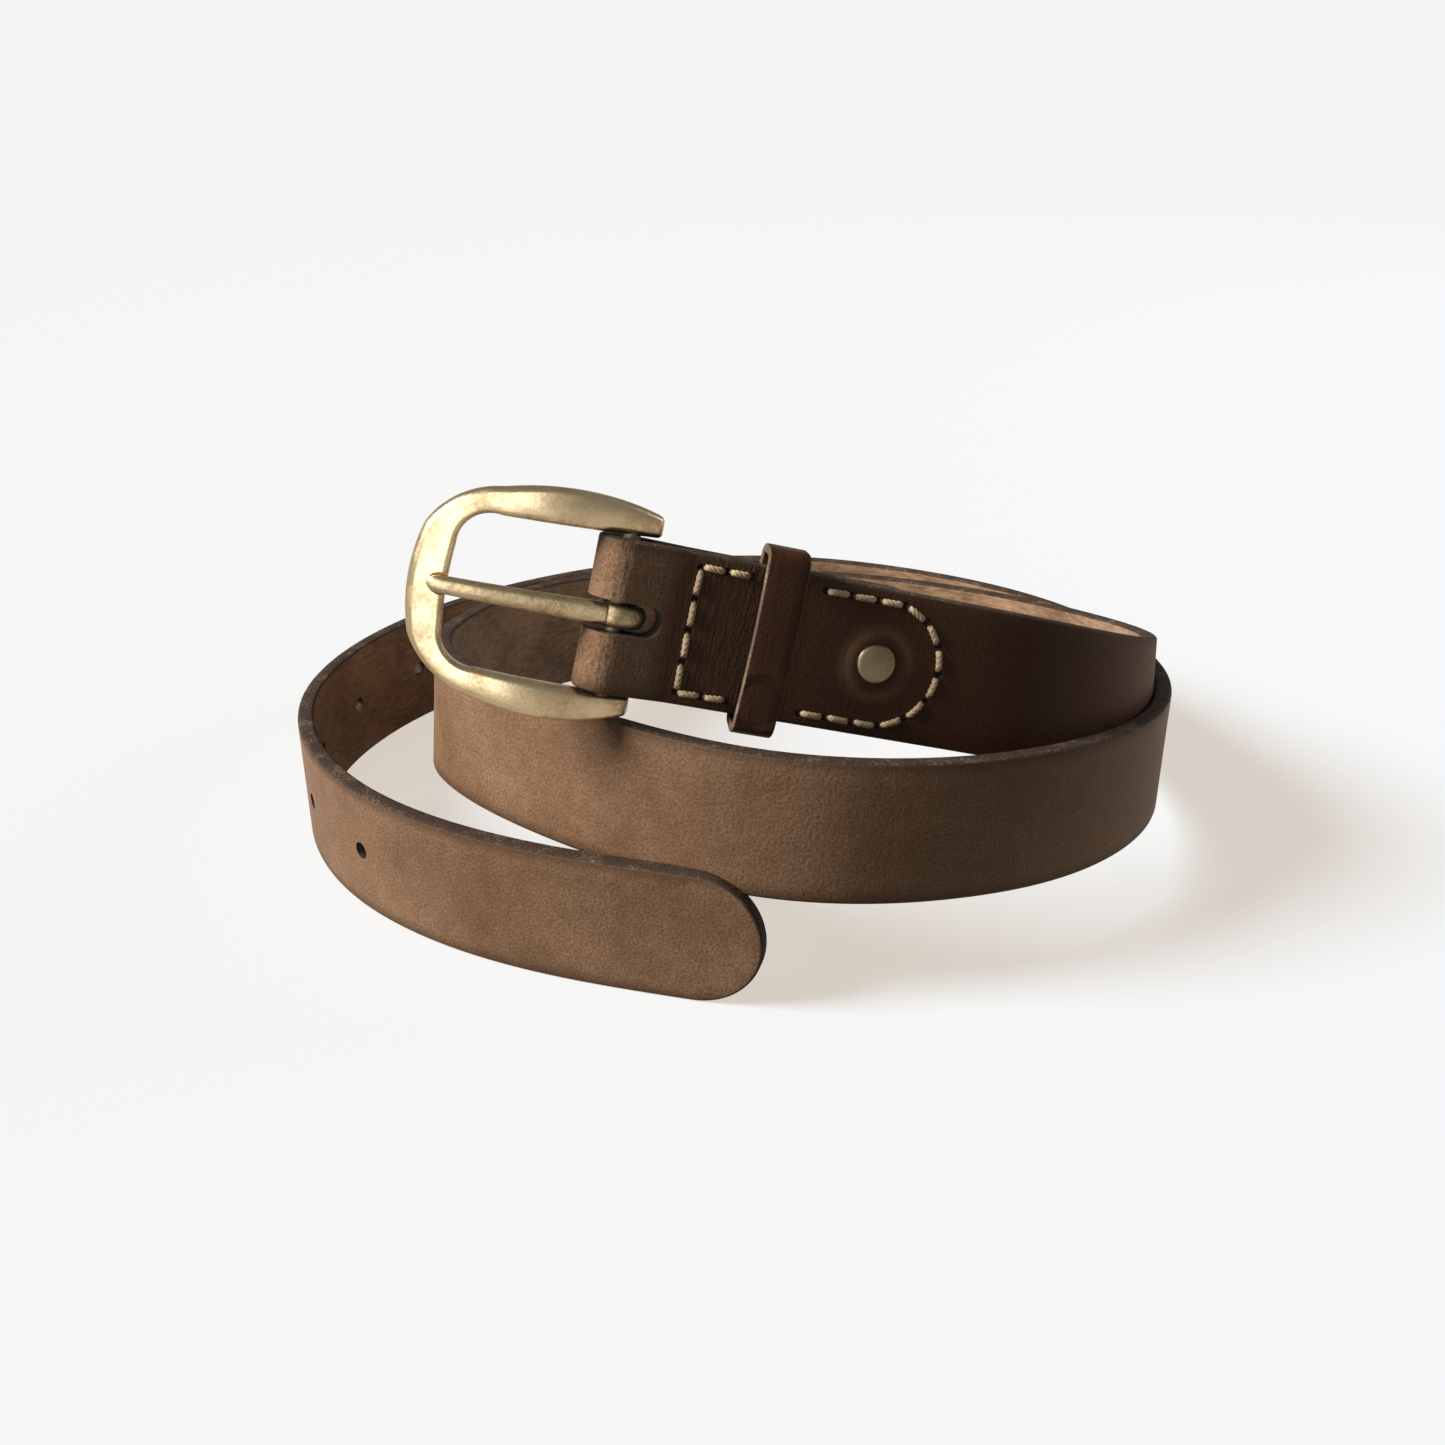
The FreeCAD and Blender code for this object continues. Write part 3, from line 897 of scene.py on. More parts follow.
@dataclass
class StitchPlan:
    """Where the stitches lie in the buckle's frame."""

    half_width: float = 15.0
    inset: float = 2.6
    buckle_row: float = 14.0
    buckle_leg: float = 10.4
    cross_count: int = 4
    leg_count: int = 2
    rivet: float = 53.0
    flap_leg: float = 14.0
    flap_count: int = 12
    share: float = 0.7
    hole_share: float = 0.94
    hole_gap: float = 1.5

    def line(self, start: Point, end: Point, count: int) -> list[Stitch]:
        """Stitches along a straight row.

        Args:
            start: Where the row begins.
            end: Where it ends.
            count: How many stitches it has.

        Returns:
            The stitches.
        """
        run = (end[0] - start[0], end[1] - start[1])
        pitch = math.hypot(*run) / count
        turn = math.degrees(math.atan2(run[1], run[0]))
        return [Stitch(start[0] + run[0] * (i + 0.5) / count, start[1] + run[1] * (i + 0.5) / count, turn,
                       pitch * self.share) for i in range(count)]

    def row(self, row: Row) -> list[Stitch]:
        """All stitches of one row.

        Args:
            row: Which row.

        Returns:
            Its stitches.
        """
        radius = self.half_width - self.inset
        if row is Row.BUCKLE:
            far = self.buckle_row + self.buckle_leg
            stitches = self.line((self.buckle_row, -radius), (self.buckle_row, radius), self.cross_count)
            for side in (radius, -radius):
                stitches += self.line((self.buckle_row, side), (far, side), self.leg_count)
            return stitches
        bend = math.pi * radius
        pitch = (bend + 2 * self.flap_leg) / self.flap_count
        stitches = []
        for index in range(self.flap_count):
            travel = (index + 0.5) * pitch
            if travel <= self.flap_leg:
                x, y, turn = self.rivet - self.flap_leg + travel, radius, 0.0
            elif travel >= self.flap_leg + bend:
                x, y, turn = self.rivet - (travel - self.flap_leg - bend), -radius, 180.0
            else:
                angle = math.pi / 2 - (travel - self.flap_leg) / radius
                x, y = self.rivet + radius * math.cos(angle), radius * math.sin(angle)
                turn = math.degrees(angle) - 90.0
            stitches.append(Stitch(x, y, turn, pitch * self.share))
        return stitches

    def awl_holes(self) -> list[Point]:
        """Places where the thread goes through the leather: each stitch's two ends.

        Returns:
            The places, each one once.
        """
        holes = []
        for row in Row:
            for stitch in self.row(row):
                reach = stitch.length / 2 / self.share * self.hole_share
                angle = math.radians(stitch.turn)
                for side in (-1, 1):
                    x = stitch.x + side * reach * math.cos(angle)
                    y = stitch.y + side * reach * math.sin(angle)
                    if all(math.hypot(x - other[0], y - other[1]) > self.hole_gap for other in holes):
                        holes.append((x, y))
        return holes


@dataclass
class Thread:
    """Twisted thread of one row, on both faces of the leather."""

    plan: StitchPlan
    length: float = 4.4
    tail: float = 0.5
    radius: float = 0.56
    strands: int = 3
    twist: float = 0.85
    groove: float = 0.16
    slimming: float = 0.35
    spread: float = 1.08
    press: float = 0.9
    stand: float = 0.42
    sink: float = 1.25
    wobble: float = 2.5
    face: float = 3.8

    def template(self) -> bpy.types.Object:
        """One stitch along X over the face at Z = 0, its ends sunk into the leather.

        Returns:
            The stitch.
        """
        half = self.length / 2
        clear_selection()
        bpy.ops.mesh.primitive_cylinder_add(vertices=18, radius=self.radius * MM,
                                            depth=(self.length + 2 * self.tail) * MM)
        piece = bpy.context.object
        bpy.ops.object.mode_set(mode="EDIT")
        slice_along(2, np.linspace(-half, half, 19))
        bpy.ops.mesh.select_all(action="DESELECT")
        bpy.ops.object.mode_set(mode="OBJECT")

        def shape(points: np.ndarray) -> np.ndarray:
            """Lays the cylinder along X, twists its strands and bends its ends down.

            Args:
                points: Points of the upright cylinder.

            Returns:
                The points of the stitch.
            """
            along = points[:, 2]
            angle = np.arctan2(points[:, 1], points[:, 0])
            reach = np.hypot(points[:, 0], points[:, 1])
            lobes = 1 + self.groove * np.cos(self.strands * angle - 2 * math.pi * self.twist * along)
            end = np.clip(np.abs(along) / (half + self.tail), 0, 1)
            reach = reach * lobes * (1 - self.slimming * end ** 6)
            height = self.stand - self.sink * end ** 4
            return np.stack([along, reach * np.cos(angle) * self.spread,
                             reach * np.sin(angle) * self.press + height], axis=1)

        move_points(piece, shape)
        outward_normals(piece)
        return piece

    def lay(self, points: np.ndarray, stitch: Stitch, side: int, turn: float) -> np.ndarray:
        """Turns a stitch into line with its row on the front or the back face.

        Args:
            points: The stitch's points along X.
            stitch: Where it goes.
            side: 1 for the front face, -1 for the back.
            turn: Its direction in radians.

        Returns:
            The points in the buckle's frame.
        """
        x, y, z = points[:, 0] * (stitch.length / self.length), points[:, 1] * side, points[:, 2] * side
        return np.stack([stitch.x + x * math.cos(turn) - y * math.sin(turn),
                         stitch.y + x * math.sin(turn) + y * math.cos(turn),
                         z + side * self.face], axis=1)

    def build(self, row: Row, material: bpy.types.Material, buckle: BuckleFrame) -> bpy.types.Object:
        """Builds one row's thread and hangs it on the strap.

        Args:
            row: Which row.
            material: The thread's finish.
            buckle: Where the buckle end lies.

        Returns:
            The piece.
        """
        template = self.template()
        copies = []
        for number, stitch in enumerate(self.plan.row(row)):
            for side in (1, -1):
                copy = template.copy()
                copy.data = template.data.copy()
                bpy.context.scene.collection.objects.link(copy)
                copies.append(copy)
                turn = math.radians(stitch.turn + self.wobble * math.sin(7.3 * number + side))
                write_flat_map(copy, lambda points: points[:, [0, 1]])
                move_points(copy, lambda points: self.lay(points, stitch, side, turn))
        mesh = template.data
        bpy.data.objects.remove(template)
        bpy.data.meshes.remove(mesh)
        piece = join(copies, row.value + "_thread")
        buckle.fit(piece, material, 70.0)
        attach(piece, "strap")
        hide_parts(row.value)
        return piece


# ------------------------------------------------------------------------------------------ strap
@dataclass
class Strap:
    """The one long piece of leather: cut flat, punched, sliced for bending and rolled."""

    line: MiddleLine
    plan: StitchPlan
    edge_round: float = 0.75
    hole_radius: float = 2.0
    hole_spacing: float = 28.0
    hole_count: int = 5
    first_hole: float = 97.0
    slot_width: float = 6.5
    slot_reach: float = 8.4
    awl_radius: float = 0.8
    awl_depth: float = 1.3
    keeper_at: float = 30.3
    keeper_reach: float = 5.55
    skive: float = 2.0
    fold_reach: float = 17.0
    coil_slice: float = 3.1
    fold_slice: float = 0.62
    flap_slice: float = 4.1
    rows: tuple[float, ...] = (-10.0, -5.0, 0.0, 5.0, 10.0)
    facing: float = 0.8
    face_margin: float = 0.12
    flesh_from: float = 20.0

    def blank(self) -> bpy.types.Object:
        """Flat strip with two round ends and rounded edges.

        Returns:
            The strip.
        """
        half, thick = self.line.width / 2, self.line.thickness
        clear_selection()
        bpy.ops.mesh.primitive_circle_add(vertices=98, radius=half * MM, location=(0, 0, 0))
        piece = bpy.context.object
        bpy.ops.object.mode_set(mode="EDIT")
        bpy.ops.mesh.select_all(action="SELECT")
        bpy.ops.transform.translate(value=(half * MM, 0, -thick / 2 * MM))
        pick(piece, "verts", lambda vertex: vertex.co.x > half * MM)
        bpy.ops.transform.translate(value=((self.line.total - 2 * half) * MM, 0, 0))
        bpy.ops.mesh.select_all(action="SELECT")
        bpy.ops.mesh.edge_face_add()
        bpy.ops.mesh.extrude_region_move(TRANSFORM_OT_translate={"value": (0, 0, thick * MM)})
        bpy.ops.mesh.select_all(action="SELECT")
        bpy.ops.mesh.normals_make_consistent(inside=False)
        bevel_edges(piece, lambda edge: abs(edge.verts[0].co.z - edge.verts[1].co.z) < HAIR,
                    self.edge_round, 3)
        bpy.ops.object.mode_set(mode="OBJECT")
        return finish_name(piece, "strap_leather")

    @staticmethod
    def punch(x: float, y: float, radius: float, low: float, high: float, sides: int) -> bpy.types.Object:
        """Round punch between two heights over the flat strap.

        Args:
            x: Length from the tip.
            y: Place across the strap.
            radius: Its radius.
            low: Height of its lower end over the middle of the leather.
            high: Height of its upper end.
            sides: How many sides its circle has.

        Returns:
            The punch.
        """
        clear_selection()
        bpy.ops.mesh.primitive_cylinder_add(vertices=sides, radius=radius * MM, depth=(high - low) * MM,
                                            location=(x * MM, y * MM, (low + high) / 2 * MM))
        punch = bpy.context.object
        bpy.ops.object.transform_apply(location=True, rotation=True, scale=True)
        return punch

    def punches(self) -> bpy.types.Object:
        """All punches: adjustment holes, the tongue's slot and the awl's marks on both faces.

        Returns:
            The punches, joined.
        """
        line, through = self.line, 5.0
        bottom, top = line.thickness / 2 - self.awl_depth, line.thickness / 2 + 1
        made = [self.punch(self.first_hole + i * self.hole_spacing, 0, self.hole_radius, -through, through,
                           32) for i in range(self.hole_count)]
        stretch = line.bar - line.front(self.slot_reach) - self.slot_width / 2
        slot = self.punch(line.bar, 0, self.slot_width / 2, -through, through, 34)
        along = np.array([1.0, 0.0, 0.0])
        move_points(slot, lambda points: points + np.sign(points[:, :1] - line.bar) * stretch * along)
        made.append(slot)
        for x, y in self.plan.awl_holes():
            made += [self.punch(place, y, self.awl_radius, bottom, top, 12)
                     for place in (line.front(x), line.back(x))]
        return join(made, "punches")

    def stations(self) -> np.ndarray:
        """Where the flat strap is sliced across so that it bends: closer together at the fold.

        Returns:
            The places, as lengths from the tip.
        """
        line = self.line
        end, near, far = 3.0, self.fold_reach, self.fold_reach + 1.0
        coil = np.arange(end, line.front(far), self.coil_slice)
        fold = np.arange(line.front(near), line.back(near), self.fold_slice)
        flap = np.arange(line.back(far), line.total - end, self.flap_slice)
        skive = [line.back(self.keeper_at + side * (self.keeper_reach + extra))
                 for side in (-1, 1) for extra in (-0.05, 0.05)]
        return np.concatenate([coil, fold, flap, skive])

    def build(self, grain: bpy.types.Material, flesh: bpy.types.Material,
              edge: bpy.types.Material) -> bpy.types.Object:
        """Makes the strap with its three finishes and rolls it.

        Args:
            grain: Finish of the outer face.
            flesh: Finish of the inner face.
            edge: Finish of the cut edges.

        Returns:
            The piece.
        """
        piece = self.blank()
        cut_away(piece, self.punches())
        only(piece)
        bpy.ops.object.mode_set(mode="EDIT")
        slice_along(0, self.stations())
        slice_along(1, self.rows)
        bpy.ops.object.mode_set(mode="OBJECT")
        for material in (grain, flesh, edge):
            piece.data.materials.append(material)
        facing, middles = face_values(piece, "normal")[:, 2], face_values(piece, "center") / MM
        outer = self.line.thickness / 2 - self.face_margin
        from_bar = np.abs(middles[:, 0] - self.line.bar)
        front = (facing > self.facing) & (middles[:, 2] > outer)
        back = (facing < -self.facing) & (middles[:, 2] < -outer) & (from_bar > self.flesh_from)
        index = np.where(front, 0, np.where(back, 1, 2))
        piece.data.polygons.foreach_set("material_index", index.astype(np.int32))
        write_flat_map(piece, lambda points: points[:, :2])

        def skived(points: np.ndarray) -> np.ndarray:
            """Thins the flap from its flesh side where the keeper's back band runs, and rolls the strap.

            Args:
                points: Points of the flat strap.

            Returns:
                The points of the rolled strap.
            """
            place = points[:, 0] - self.line.back(self.keeper_at)
            thin = (np.abs(place) < self.keeper_reach) & (points[:, 2] < 0)
            flat = points.copy()
            raised = flat[:, 2] + self.skive * (-flat[:, 2]) / (self.line.thickness / 2)
            flat[:, 2] = np.where(thin, raised, flat[:, 2])
            return self.line.roll(flat)

        move_points(piece, skived)
        smooth_faces(piece, 40.0)
        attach(piece, "strap")
        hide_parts("strap")
        return piece


# ------------------------------------------------------------------------------------------ keeper
@dataclass
class Keeper:
    """Leather loop beside the buckle."""

    middle: float = 30.3
    width: float = 8.2
    thickness: float = 1.8
    low: float = -17.7
    high: float = 19.0
    back: float = -1.9
    front: float = 9.9
    corner: float = 2.6
    rim_round: float = 0.35
    rim_angle: float = 50.0
    slices: tuple[float, ...] = (-1.6, 1.6)
    slice_step: float = 2.0
    raw_facing: float = 0.6
    front_from: float = 4.5
    front_over: float = 3.0
    dip: float = 0.45
    askew: float = 0.3
    nearer: float = 0.9

    def build(self, grain: bpy.types.Material, edge: bpy.types.Material,
              buckle: BuckleFrame) -> bpy.types.Object:
        """Bends the band round and rounds its rims.

        Args:
            grain: Finish of the faces.
            edge: Finish of the cut rims.
            buckle: Where the buckle end lies.

        Returns:
            The piece.
        """
        half = self.width / 2
        piece = add_box((-half, self.low, self.back), (half, self.high, self.front))
        pick(piece, "faces", lambda face: abs(face.normal.x) > 0.9)
        bpy.ops.mesh.delete(type="FACE")
        bevel_edges(piece, lambda side: abs(side.verts[0].co.x - side.verts[1].co.x) > half * MM,
                    self.corner, 5)
        bpy.ops.object.mode_set(mode="OBJECT")
        finish_name(piece, "keeper_loop")
        apply_modifier(piece, "SOLIDIFY", thickness=self.thickness * MM, offset=-1.0, use_even_offset=True)
        apply_modifier(piece, "BEVEL", width=self.rim_round * MM, segments=3, limit_method="ANGLE",
                       angle_limit=math.radians(self.rim_angle))
        only(piece)
        bpy.ops.object.mode_set(mode="EDIT")
        slice_along(1, np.arange(self.low + 3.5, self.high - 3.0, self.slice_step))
        slice_along(0, self.slices)
        bpy.ops.object.mode_set(mode="OBJECT")
        for material in (grain, edge):
            piece.data.materials.append(material)
        raw = np.abs(face_values(piece, "normal")[:, 0]) > self.raw_facing
        piece.data.polygons.foreach_set("material_index", raw.astype(np.int32))
        write_flat_map(piece, lambda points: np.stack([points[:, 1] + points[:, 2], points[:, 0]], axis=1))

        def slump(points: np.ndarray) -> np.ndarray:
            """Lets the front band dip and stand a little askew.

            Args:
                points: Points of the straight loop.

            Returns:
                The points in the buckle's frame.
            """
            out = points.copy()
            share = (points[:, 1] - self.low) / (self.high - self.low)
            forward = ease((points[:, 2] - self.front_from) / self.front_over)
            out[:, 2] -= forward * self.dip * (2 * share - 1) ** 2
            out[:, 0] += self.middle + forward * (self.askew * np.sin(3.0 * share) - self.nearer)
            return out

        move_points(piece, slump)
        move_points(piece, buckle.world)
        smooth_faces(piece, 45.0)
        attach(piece, "keeper")
        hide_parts("keeper")
        return piece


# ------------------------------------------------------------------------------------------ buckle
def arc_points(start: Point, middle: Point, end: Point, count: int = 40) -> np.ndarray:
    """Points of the circular arc through three points, both ends included.

    Args:
        start: The first point.
        middle: A point in between.
        end: The last point.
        count: How many points are wanted.

    Returns:
        The points.
    """
    (x1, y1), (x2, y2), (x3, y3) = start, middle, end
    a = x1 * (y2 - y3) - y1 * (x2 - x3) + x2 * y3 - x3 * y2
    b = (x1 ** 2 + y1 ** 2) * (y3 - y2) + (x2 ** 2 + y2 ** 2) * (y1 - y3) + (x3 ** 2 + y3 ** 2) * (y2 - y1)
    c = (x1 ** 2 + y1 ** 2) * (x2 - x3) + (x2 ** 2 + y2 ** 2) * (x3 - x1) + (x3 ** 2 + y3 ** 2) * (x1 - x2)
    centre = np.array([-b / (2 * a), -c / (2 * a)])
    radius = math.hypot(x1 - centre[0], y1 - centre[1])
    first, via, last = (math.atan2(y - centre[1], x - centre[0]) for x, y in (start, middle, end))
    turn = (last - first) % (2 * math.pi)
    if (via - first) % (2 * math.pi) > turn:
        turn -= 2 * math.pi
    angles = first + np.linspace(0, turn, count)
    return centre + radius * np.stack([np.cos(angles), np.sin(angles)], axis=1)


@dataclass
class Buckle:
    """Bowed frame and tongue of the buckle."""

    opening: float = 32.2
    rail: float = 7.3
    half_opening: float = 15.7
    arm: float = 6.4
    arm_end: float = 4.0
    arm_reach: float = 6.2
    taper: float = 1.0
    thickness: float = 4.2
    bow: float = 2.2
    edge_round: float = 1.35
    tongue_length: float = 36.0
    tongue_width: float = 4.0
    tongue_height: float = 3.0
    tongue_tilt: float = 2.0
    ring_radius: float = 4.05
    bar_hole: float = 2.05
    blank_length: float = 150.0
    blank_width: float = 6.4
    crown: float = 0.25
    notch_radius: float = 2.9
    notch_at: float = 34.6
    notch_reach: float = 8.0
    notch_height: float = 3.5
    heel: float = 2.2
    back_round: float = 1.55
    belly_round: float = 0.5
    nose: float = 2.2
    dip: float = 0.75
    dip_from: float = 26.0
    dip_over: float = 9.0
    ring_stretch: float = 1.5
    ring_spread: float = 2.3

    def outlines(self) -> tuple[np.ndarray, np.ndarray]:
        """Outer and inner outline of the upper half, from the rail's middle to the arm's end.

        Returns:
            The two outlines.
        """
        rail, widest, opening = -self.opening - self.rail, self.half_opening + self.arm, self.opening
        tip = (self.arm_reach, self.half_opening + self.arm_end)
        shoulder = (-0.64 * opening - self.arm_end, widest - self.arm / 3)
        cheek = (rail + 1.6, 0.48 * widest)
        bend = (rail + 0.88 * self.rail, 0.745 * widest)
        crest = (-0.3 * opening, widest)
        nose = arc_points((cheek[0], -cheek[1]), (rail, 0), cheek, 61)[30:]
        outer = np.vstack([nose, arc_points(cheek, bend, shoulder)[1:], arc_points(shoulder, crest, tip)[1:]])
        corner = (-opening + 8.0, self.half_opening - self.taper)
        inner_bend = (-opening + 2.4, self.half_opening - self.taper - 1.7)
        inner_cheek = (-opening + 0.4, 0.5 * self.half_opening)
        nose = arc_points((inner_cheek[0], -inner_cheek[1]), (-opening, 0), inner_cheek, 61)[30:]
        mouth = np.linspace(corner, (self.arm_reach, self.half_opening), 40)
        inner = np.vstack([nose, arc_points(inner_cheek, inner_bend, corner)[1:], mouth[1:]])
        return outer, inner

    @staticmethod
    def at_share(outline: np.ndarray, share: np.ndarray) -> np.ndarray:
        """Points of an outline at shares of its length.

        Args:
            outline: The outline.
            share: Shares from 0 to 1.

        Returns:
            The points.
        """
        travel = np.concatenate([[0.0], np.cumsum(np.linalg.norm(np.diff(outline, axis=0), axis=1))])
        return np.stack([np.interp(share * travel[-1], travel, outline[:, i]) for i in range(2)], axis=1)

    def build_frame(self, material: bpy.types.Material, buckle: BuckleFrame) -> bpy.types.Object:
        """Rounds a straight bar, bends it to the frame's outline and files the tongue's notch.

        Args:
            material: The brass.
            buckle: Where the buckle end lies.

        Returns:
            The piece.
        """
        length, width = self.blank_length, self.blank_width
        corner = np.array([length, width, self.thickness]) / 2
        piece = add_box(-corner, corner)
        bevel_edges(piece, lambda edge: True, self.edge_round, 5)
        slice_along(0, np.linspace(-length / 2 + 1.5, length / 2 - 1.5, 131))
        bpy.ops.object.mode_set(mode="OBJECT")
        finish_name(piece, "buckle_frame_cast")
        outer, inner = self.outlines()

        def bend(points: np.ndarray) -> np.ndarray:
            """Carries the straight bar to the outline, bowed forward.

            Args:
                points: Points of the straight bar.

            Returns:
                The points of the frame.
            """
            share = np.clip(np.abs(points[:, 0]) / (length / 2), 0, 1)
            side = np.where(points[:, 0] < 0, -1.0, 1.0)
            rim = points[:, 1:2] / width + 0.5
            flat = self.at_share(inner, share) * (1 - rim) + self.at_share(outer, share) * rim
            rise = self.bow * (1 - ((flat[:, 0] + self.opening / 2) / (self.opening / 2)) ** 2)
            crown = self.crown * (1 - (2 * rim[:, 0] - 1) ** 2) * (points[:, 2] > 0)
            return np.stack([flat[:, 0], flat[:, 1] * side, points[:, 2] + rise + crown - self.crown], axis=1)

        move_points(piece, bend)
        outward_normals(piece)
        clear_selection()
        bpy.ops.mesh.primitive_uv_sphere_add(segments=32, ring_count=16, radius=self.notch_radius * MM)
        notch = bpy.context.object
        move_points(notch, lambda points: np.stack(
            [np.where(points[:, 0] > 0, self.notch_reach, 0.0) + points[:, 0] - self.notch_at,
             points[:, 1], points[:, 2] + self.notch_height], axis=1))
        cut_away(piece, notch)
        buckle.fit(piece, material, 40.0)
        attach(piece, "buckle")
        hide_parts("buckle_frame")
        return piece

    def build_tongue(self, material: bpy.types.Material, buckle: BuckleFrame) -> bpy.types.Object:
        """Half-round tongue, slimmer towards its tip, on a ring round the bar.

        Args:
            material: The brass.
            buckle: Where the buckle end lies.

        Returns:
            The piece.
        """
        length, half = self.tongue_length, self.tongue_width / 2
        base = self.ring_radius - self.tongue_height
        piece = add_box((-length, -half, base), (-self.heel, half, self.ring_radius))

        def lengthwise(edge: bmesh.types.BMEdge) -> bool:
            """Whether an edge runs from the ring to the tip."""
            return abs(edge.verts[0].co.x - edge.verts[1].co.x) > length / 3 * MM

        bevel_edges(piece, lambda edge: lengthwise(edge) and edge.verts[0].co.z > (base + 1) * MM,
                    self.back_round, 6)
        bevel_edges(piece, lambda edge: lengthwise(edge)
                    and max(vertex.co.z for vertex in edge.verts) < (base + 0.01) * MM, self.belly_round, 3)
        tip = np.array([0.08, 0.25, 0.5, 0.85, 1.3, 1.9, 2.6])
        slice_along(0, np.concatenate([-length + tip, np.arange(-33.0, -3.0, 1.5)]))
        bpy.ops.object.mode_set(mode="OBJECT")
        finish_name(piece, "tongue_cast")

        def shape(points: np.ndarray) -> np.ndarray:
            """Tapers the shank, rounds its tip and lets it dip into the notch.

            Args:
                points: Points of the straight shank.

            Returns:
                The shaped points.
            """
            back = -points[:, 0]
            from_tip = np.clip(length - back, 0, self.nose) / self.nose
            nose = np.sqrt(np.clip(1 - (1 - from_tip) ** 2, 0.03, 1))
            wide = np.interp(back, [2, 8, 16, 30, length], [1.08, 1.06, 0.95, 0.86, 0.8]) * nose
            tall = np.interp(back, [2, 8, 20, 32, length], [1.0, 0.98, 0.9, 0.82, 0.72])
            tall = tall * (0.35 + 0.65 * nose)
            rise = back * math.tan(math.radians(self.tongue_tilt))
            rise -= self.dip * ease((back - self.dip_from) / self.dip_over)
            height = base + (points[:, 2] - base) * tall + rise
            return np.stack([points[:, 0], points[:, 1] * wide, height], axis=1)

        move_points(piece, shape)
        clear_selection()
        wall = self.ring_radius - self.bar_hole
        bpy.ops.mesh.primitive_torus_add(
            major_segments=40, minor_segments=16, major_radius=(self.bar_hole + wall / 2) * MM,
            minor_radius=wall / 2 * MM)
        ring = bpy.context.object
        move_points(ring, lambda points: np.stack(
            [points[:, 0] * np.where(points[:, 0] > 0, self.ring_stretch, 1.0),
             points[:, 2] * self.ring_spread, points[:, 1]], axis=1))
        outward_normals(ring)
        piece = join([piece, ring], "tongue_cast")
        buckle.fit(piece, material, 45.0)
        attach(piece, "tongue")
        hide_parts("tongue")
        return piece


@dataclass
class Bar:
    """Steel bar that the strap and the tongue hang on, its ends turned down to fit into the arms."""

    radius: float = 2.0
    end_radius: float = 1.45
    shoulder: float = 15.6
    reach: float = 19.1

    def build(self, material: bpy.types.Material, buckle: BuckleFrame) -> bpy.types.Object:
        """Turns the bar: a cylinder stretched to its length, with two thinner ends pulled out.

        Args:
            material: The steel.
            buckle: Where the buckle end lies.

        Returns:
            The piece.
        """
        clear_selection()
        bpy.ops.mesh.primitive_cylinder_add(vertices=40, radius=self.radius * MM,
                                            depth=2 * self.shoulder * MM)
        piece = bpy.context.object
        bpy.ops.object.mode_set(mode="EDIT")
        pick(piece, "faces", lambda face: len(face.verts) > MANY_SIDED)
        bpy.ops.mesh.inset(thickness=(self.radius - self.end_radius) * MM, depth=0.0, use_individual=True)
        for side in (1, -1):
            pick(piece, "faces", lambda face: len(face.verts) > MANY_SIDED and face.normal.z * side > 0.9)
            bpy.ops.mesh.extrude_region_move(
                TRANSFORM_OT_translate={"value": (0, 0, side * (self.reach - self.shoulder) * MM)})
        bpy.ops.object.mode_set(mode="OBJECT")
        finish_name(piece, "bar_turned")
        outward_normals(piece)
        move_points(piece, lambda points: points[:, [0, 2, 1]] * np.array([1.0, 1.0, -1.0]))
        buckle.fit(piece, material, 40.0)
        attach(piece, "buckle")
        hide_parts("bar_pin")
        return piece


@dataclass
class Rivet:
    """Two-part rivet through both layers."""

    at: float = 52.3
    cap_radius: float = 4.0
    cap_height: float = 1.2
    back_radius: float = 3.5
    face: float = 3.8
    rim_round: float = 0.62
    sunk: float = 0.15
    rings: tuple[Point, ...] = ((0.5, 0.04), (0.9, 0.07), (0.9, 0.05), (0.6, 0.02))

    def cap(self, radius: float, side: int, name: str, dome: float) -> bpy.types.Object:
        """One cap: a disc with a rounded rim, a fine step and a low dome.

        Args:
            radius: Its radius.
            side: 1 for the front, -1 for the back.
            name: Its name.
            dome: How high the dome is, as a share of the front one.

        Returns:
            The cap, in the buckle's frame.
        """
        clear_selection()
        bpy.ops.mesh.primitive_cylinder_add(vertices=64, radius=radius * MM, depth=self.cap_height * MM)
        piece = bpy.context.object
        top = self.cap_height / 2 * MM
        bpy.ops.object.mode_set(mode="EDIT")
        bevel_edges(piece, lambda edge: min(vertex.co.z for vertex in edge.verts) > top * 0.9,
                    self.rim_round, 5)
        pick(piece, "faces", lambda face: face.normal.z > 0.99 and len(face.verts) > MANY_SIDED)
        for thickness, rise in self.rings:
            bpy.ops.mesh.inset(thickness=thickness * MM, depth=rise * dome * MM)
        bpy.ops.object.mode_set(mode="OBJECT")
        finish_name(piece, name)
        move_points(piece, lambda points: np.stack(
            [points[:, 0] + self.at, points[:, 1] * side,
             side * (points[:, 2] + self.cap_height / 2 + self.face - self.sunk)], axis=1))
        return piece

    def build(self, material: bpy.types.Material, buckle: BuckleFrame) -> list[bpy.types.Object]:
        """Builds both caps and hangs them on the strap.

        Args:
            material: Their finish.
            buckle: Where the buckle end lies.

        Returns:
            The two caps.
        """
        made = []
        for radius, side, name, node, dome in ((self.cap_radius, 1, "rivet_cap_dome", "rivet_cap", 1.0),
                                               (self.back_radius, -1, "rivet_back_dome", "rivet_back", 0.6)):
            piece = self.cap(radius, side, name, dome)
            buckle.fit(piece, material, 40.0)
            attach(piece, "strap")
            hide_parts(node)
            made.append(piece)
        return made


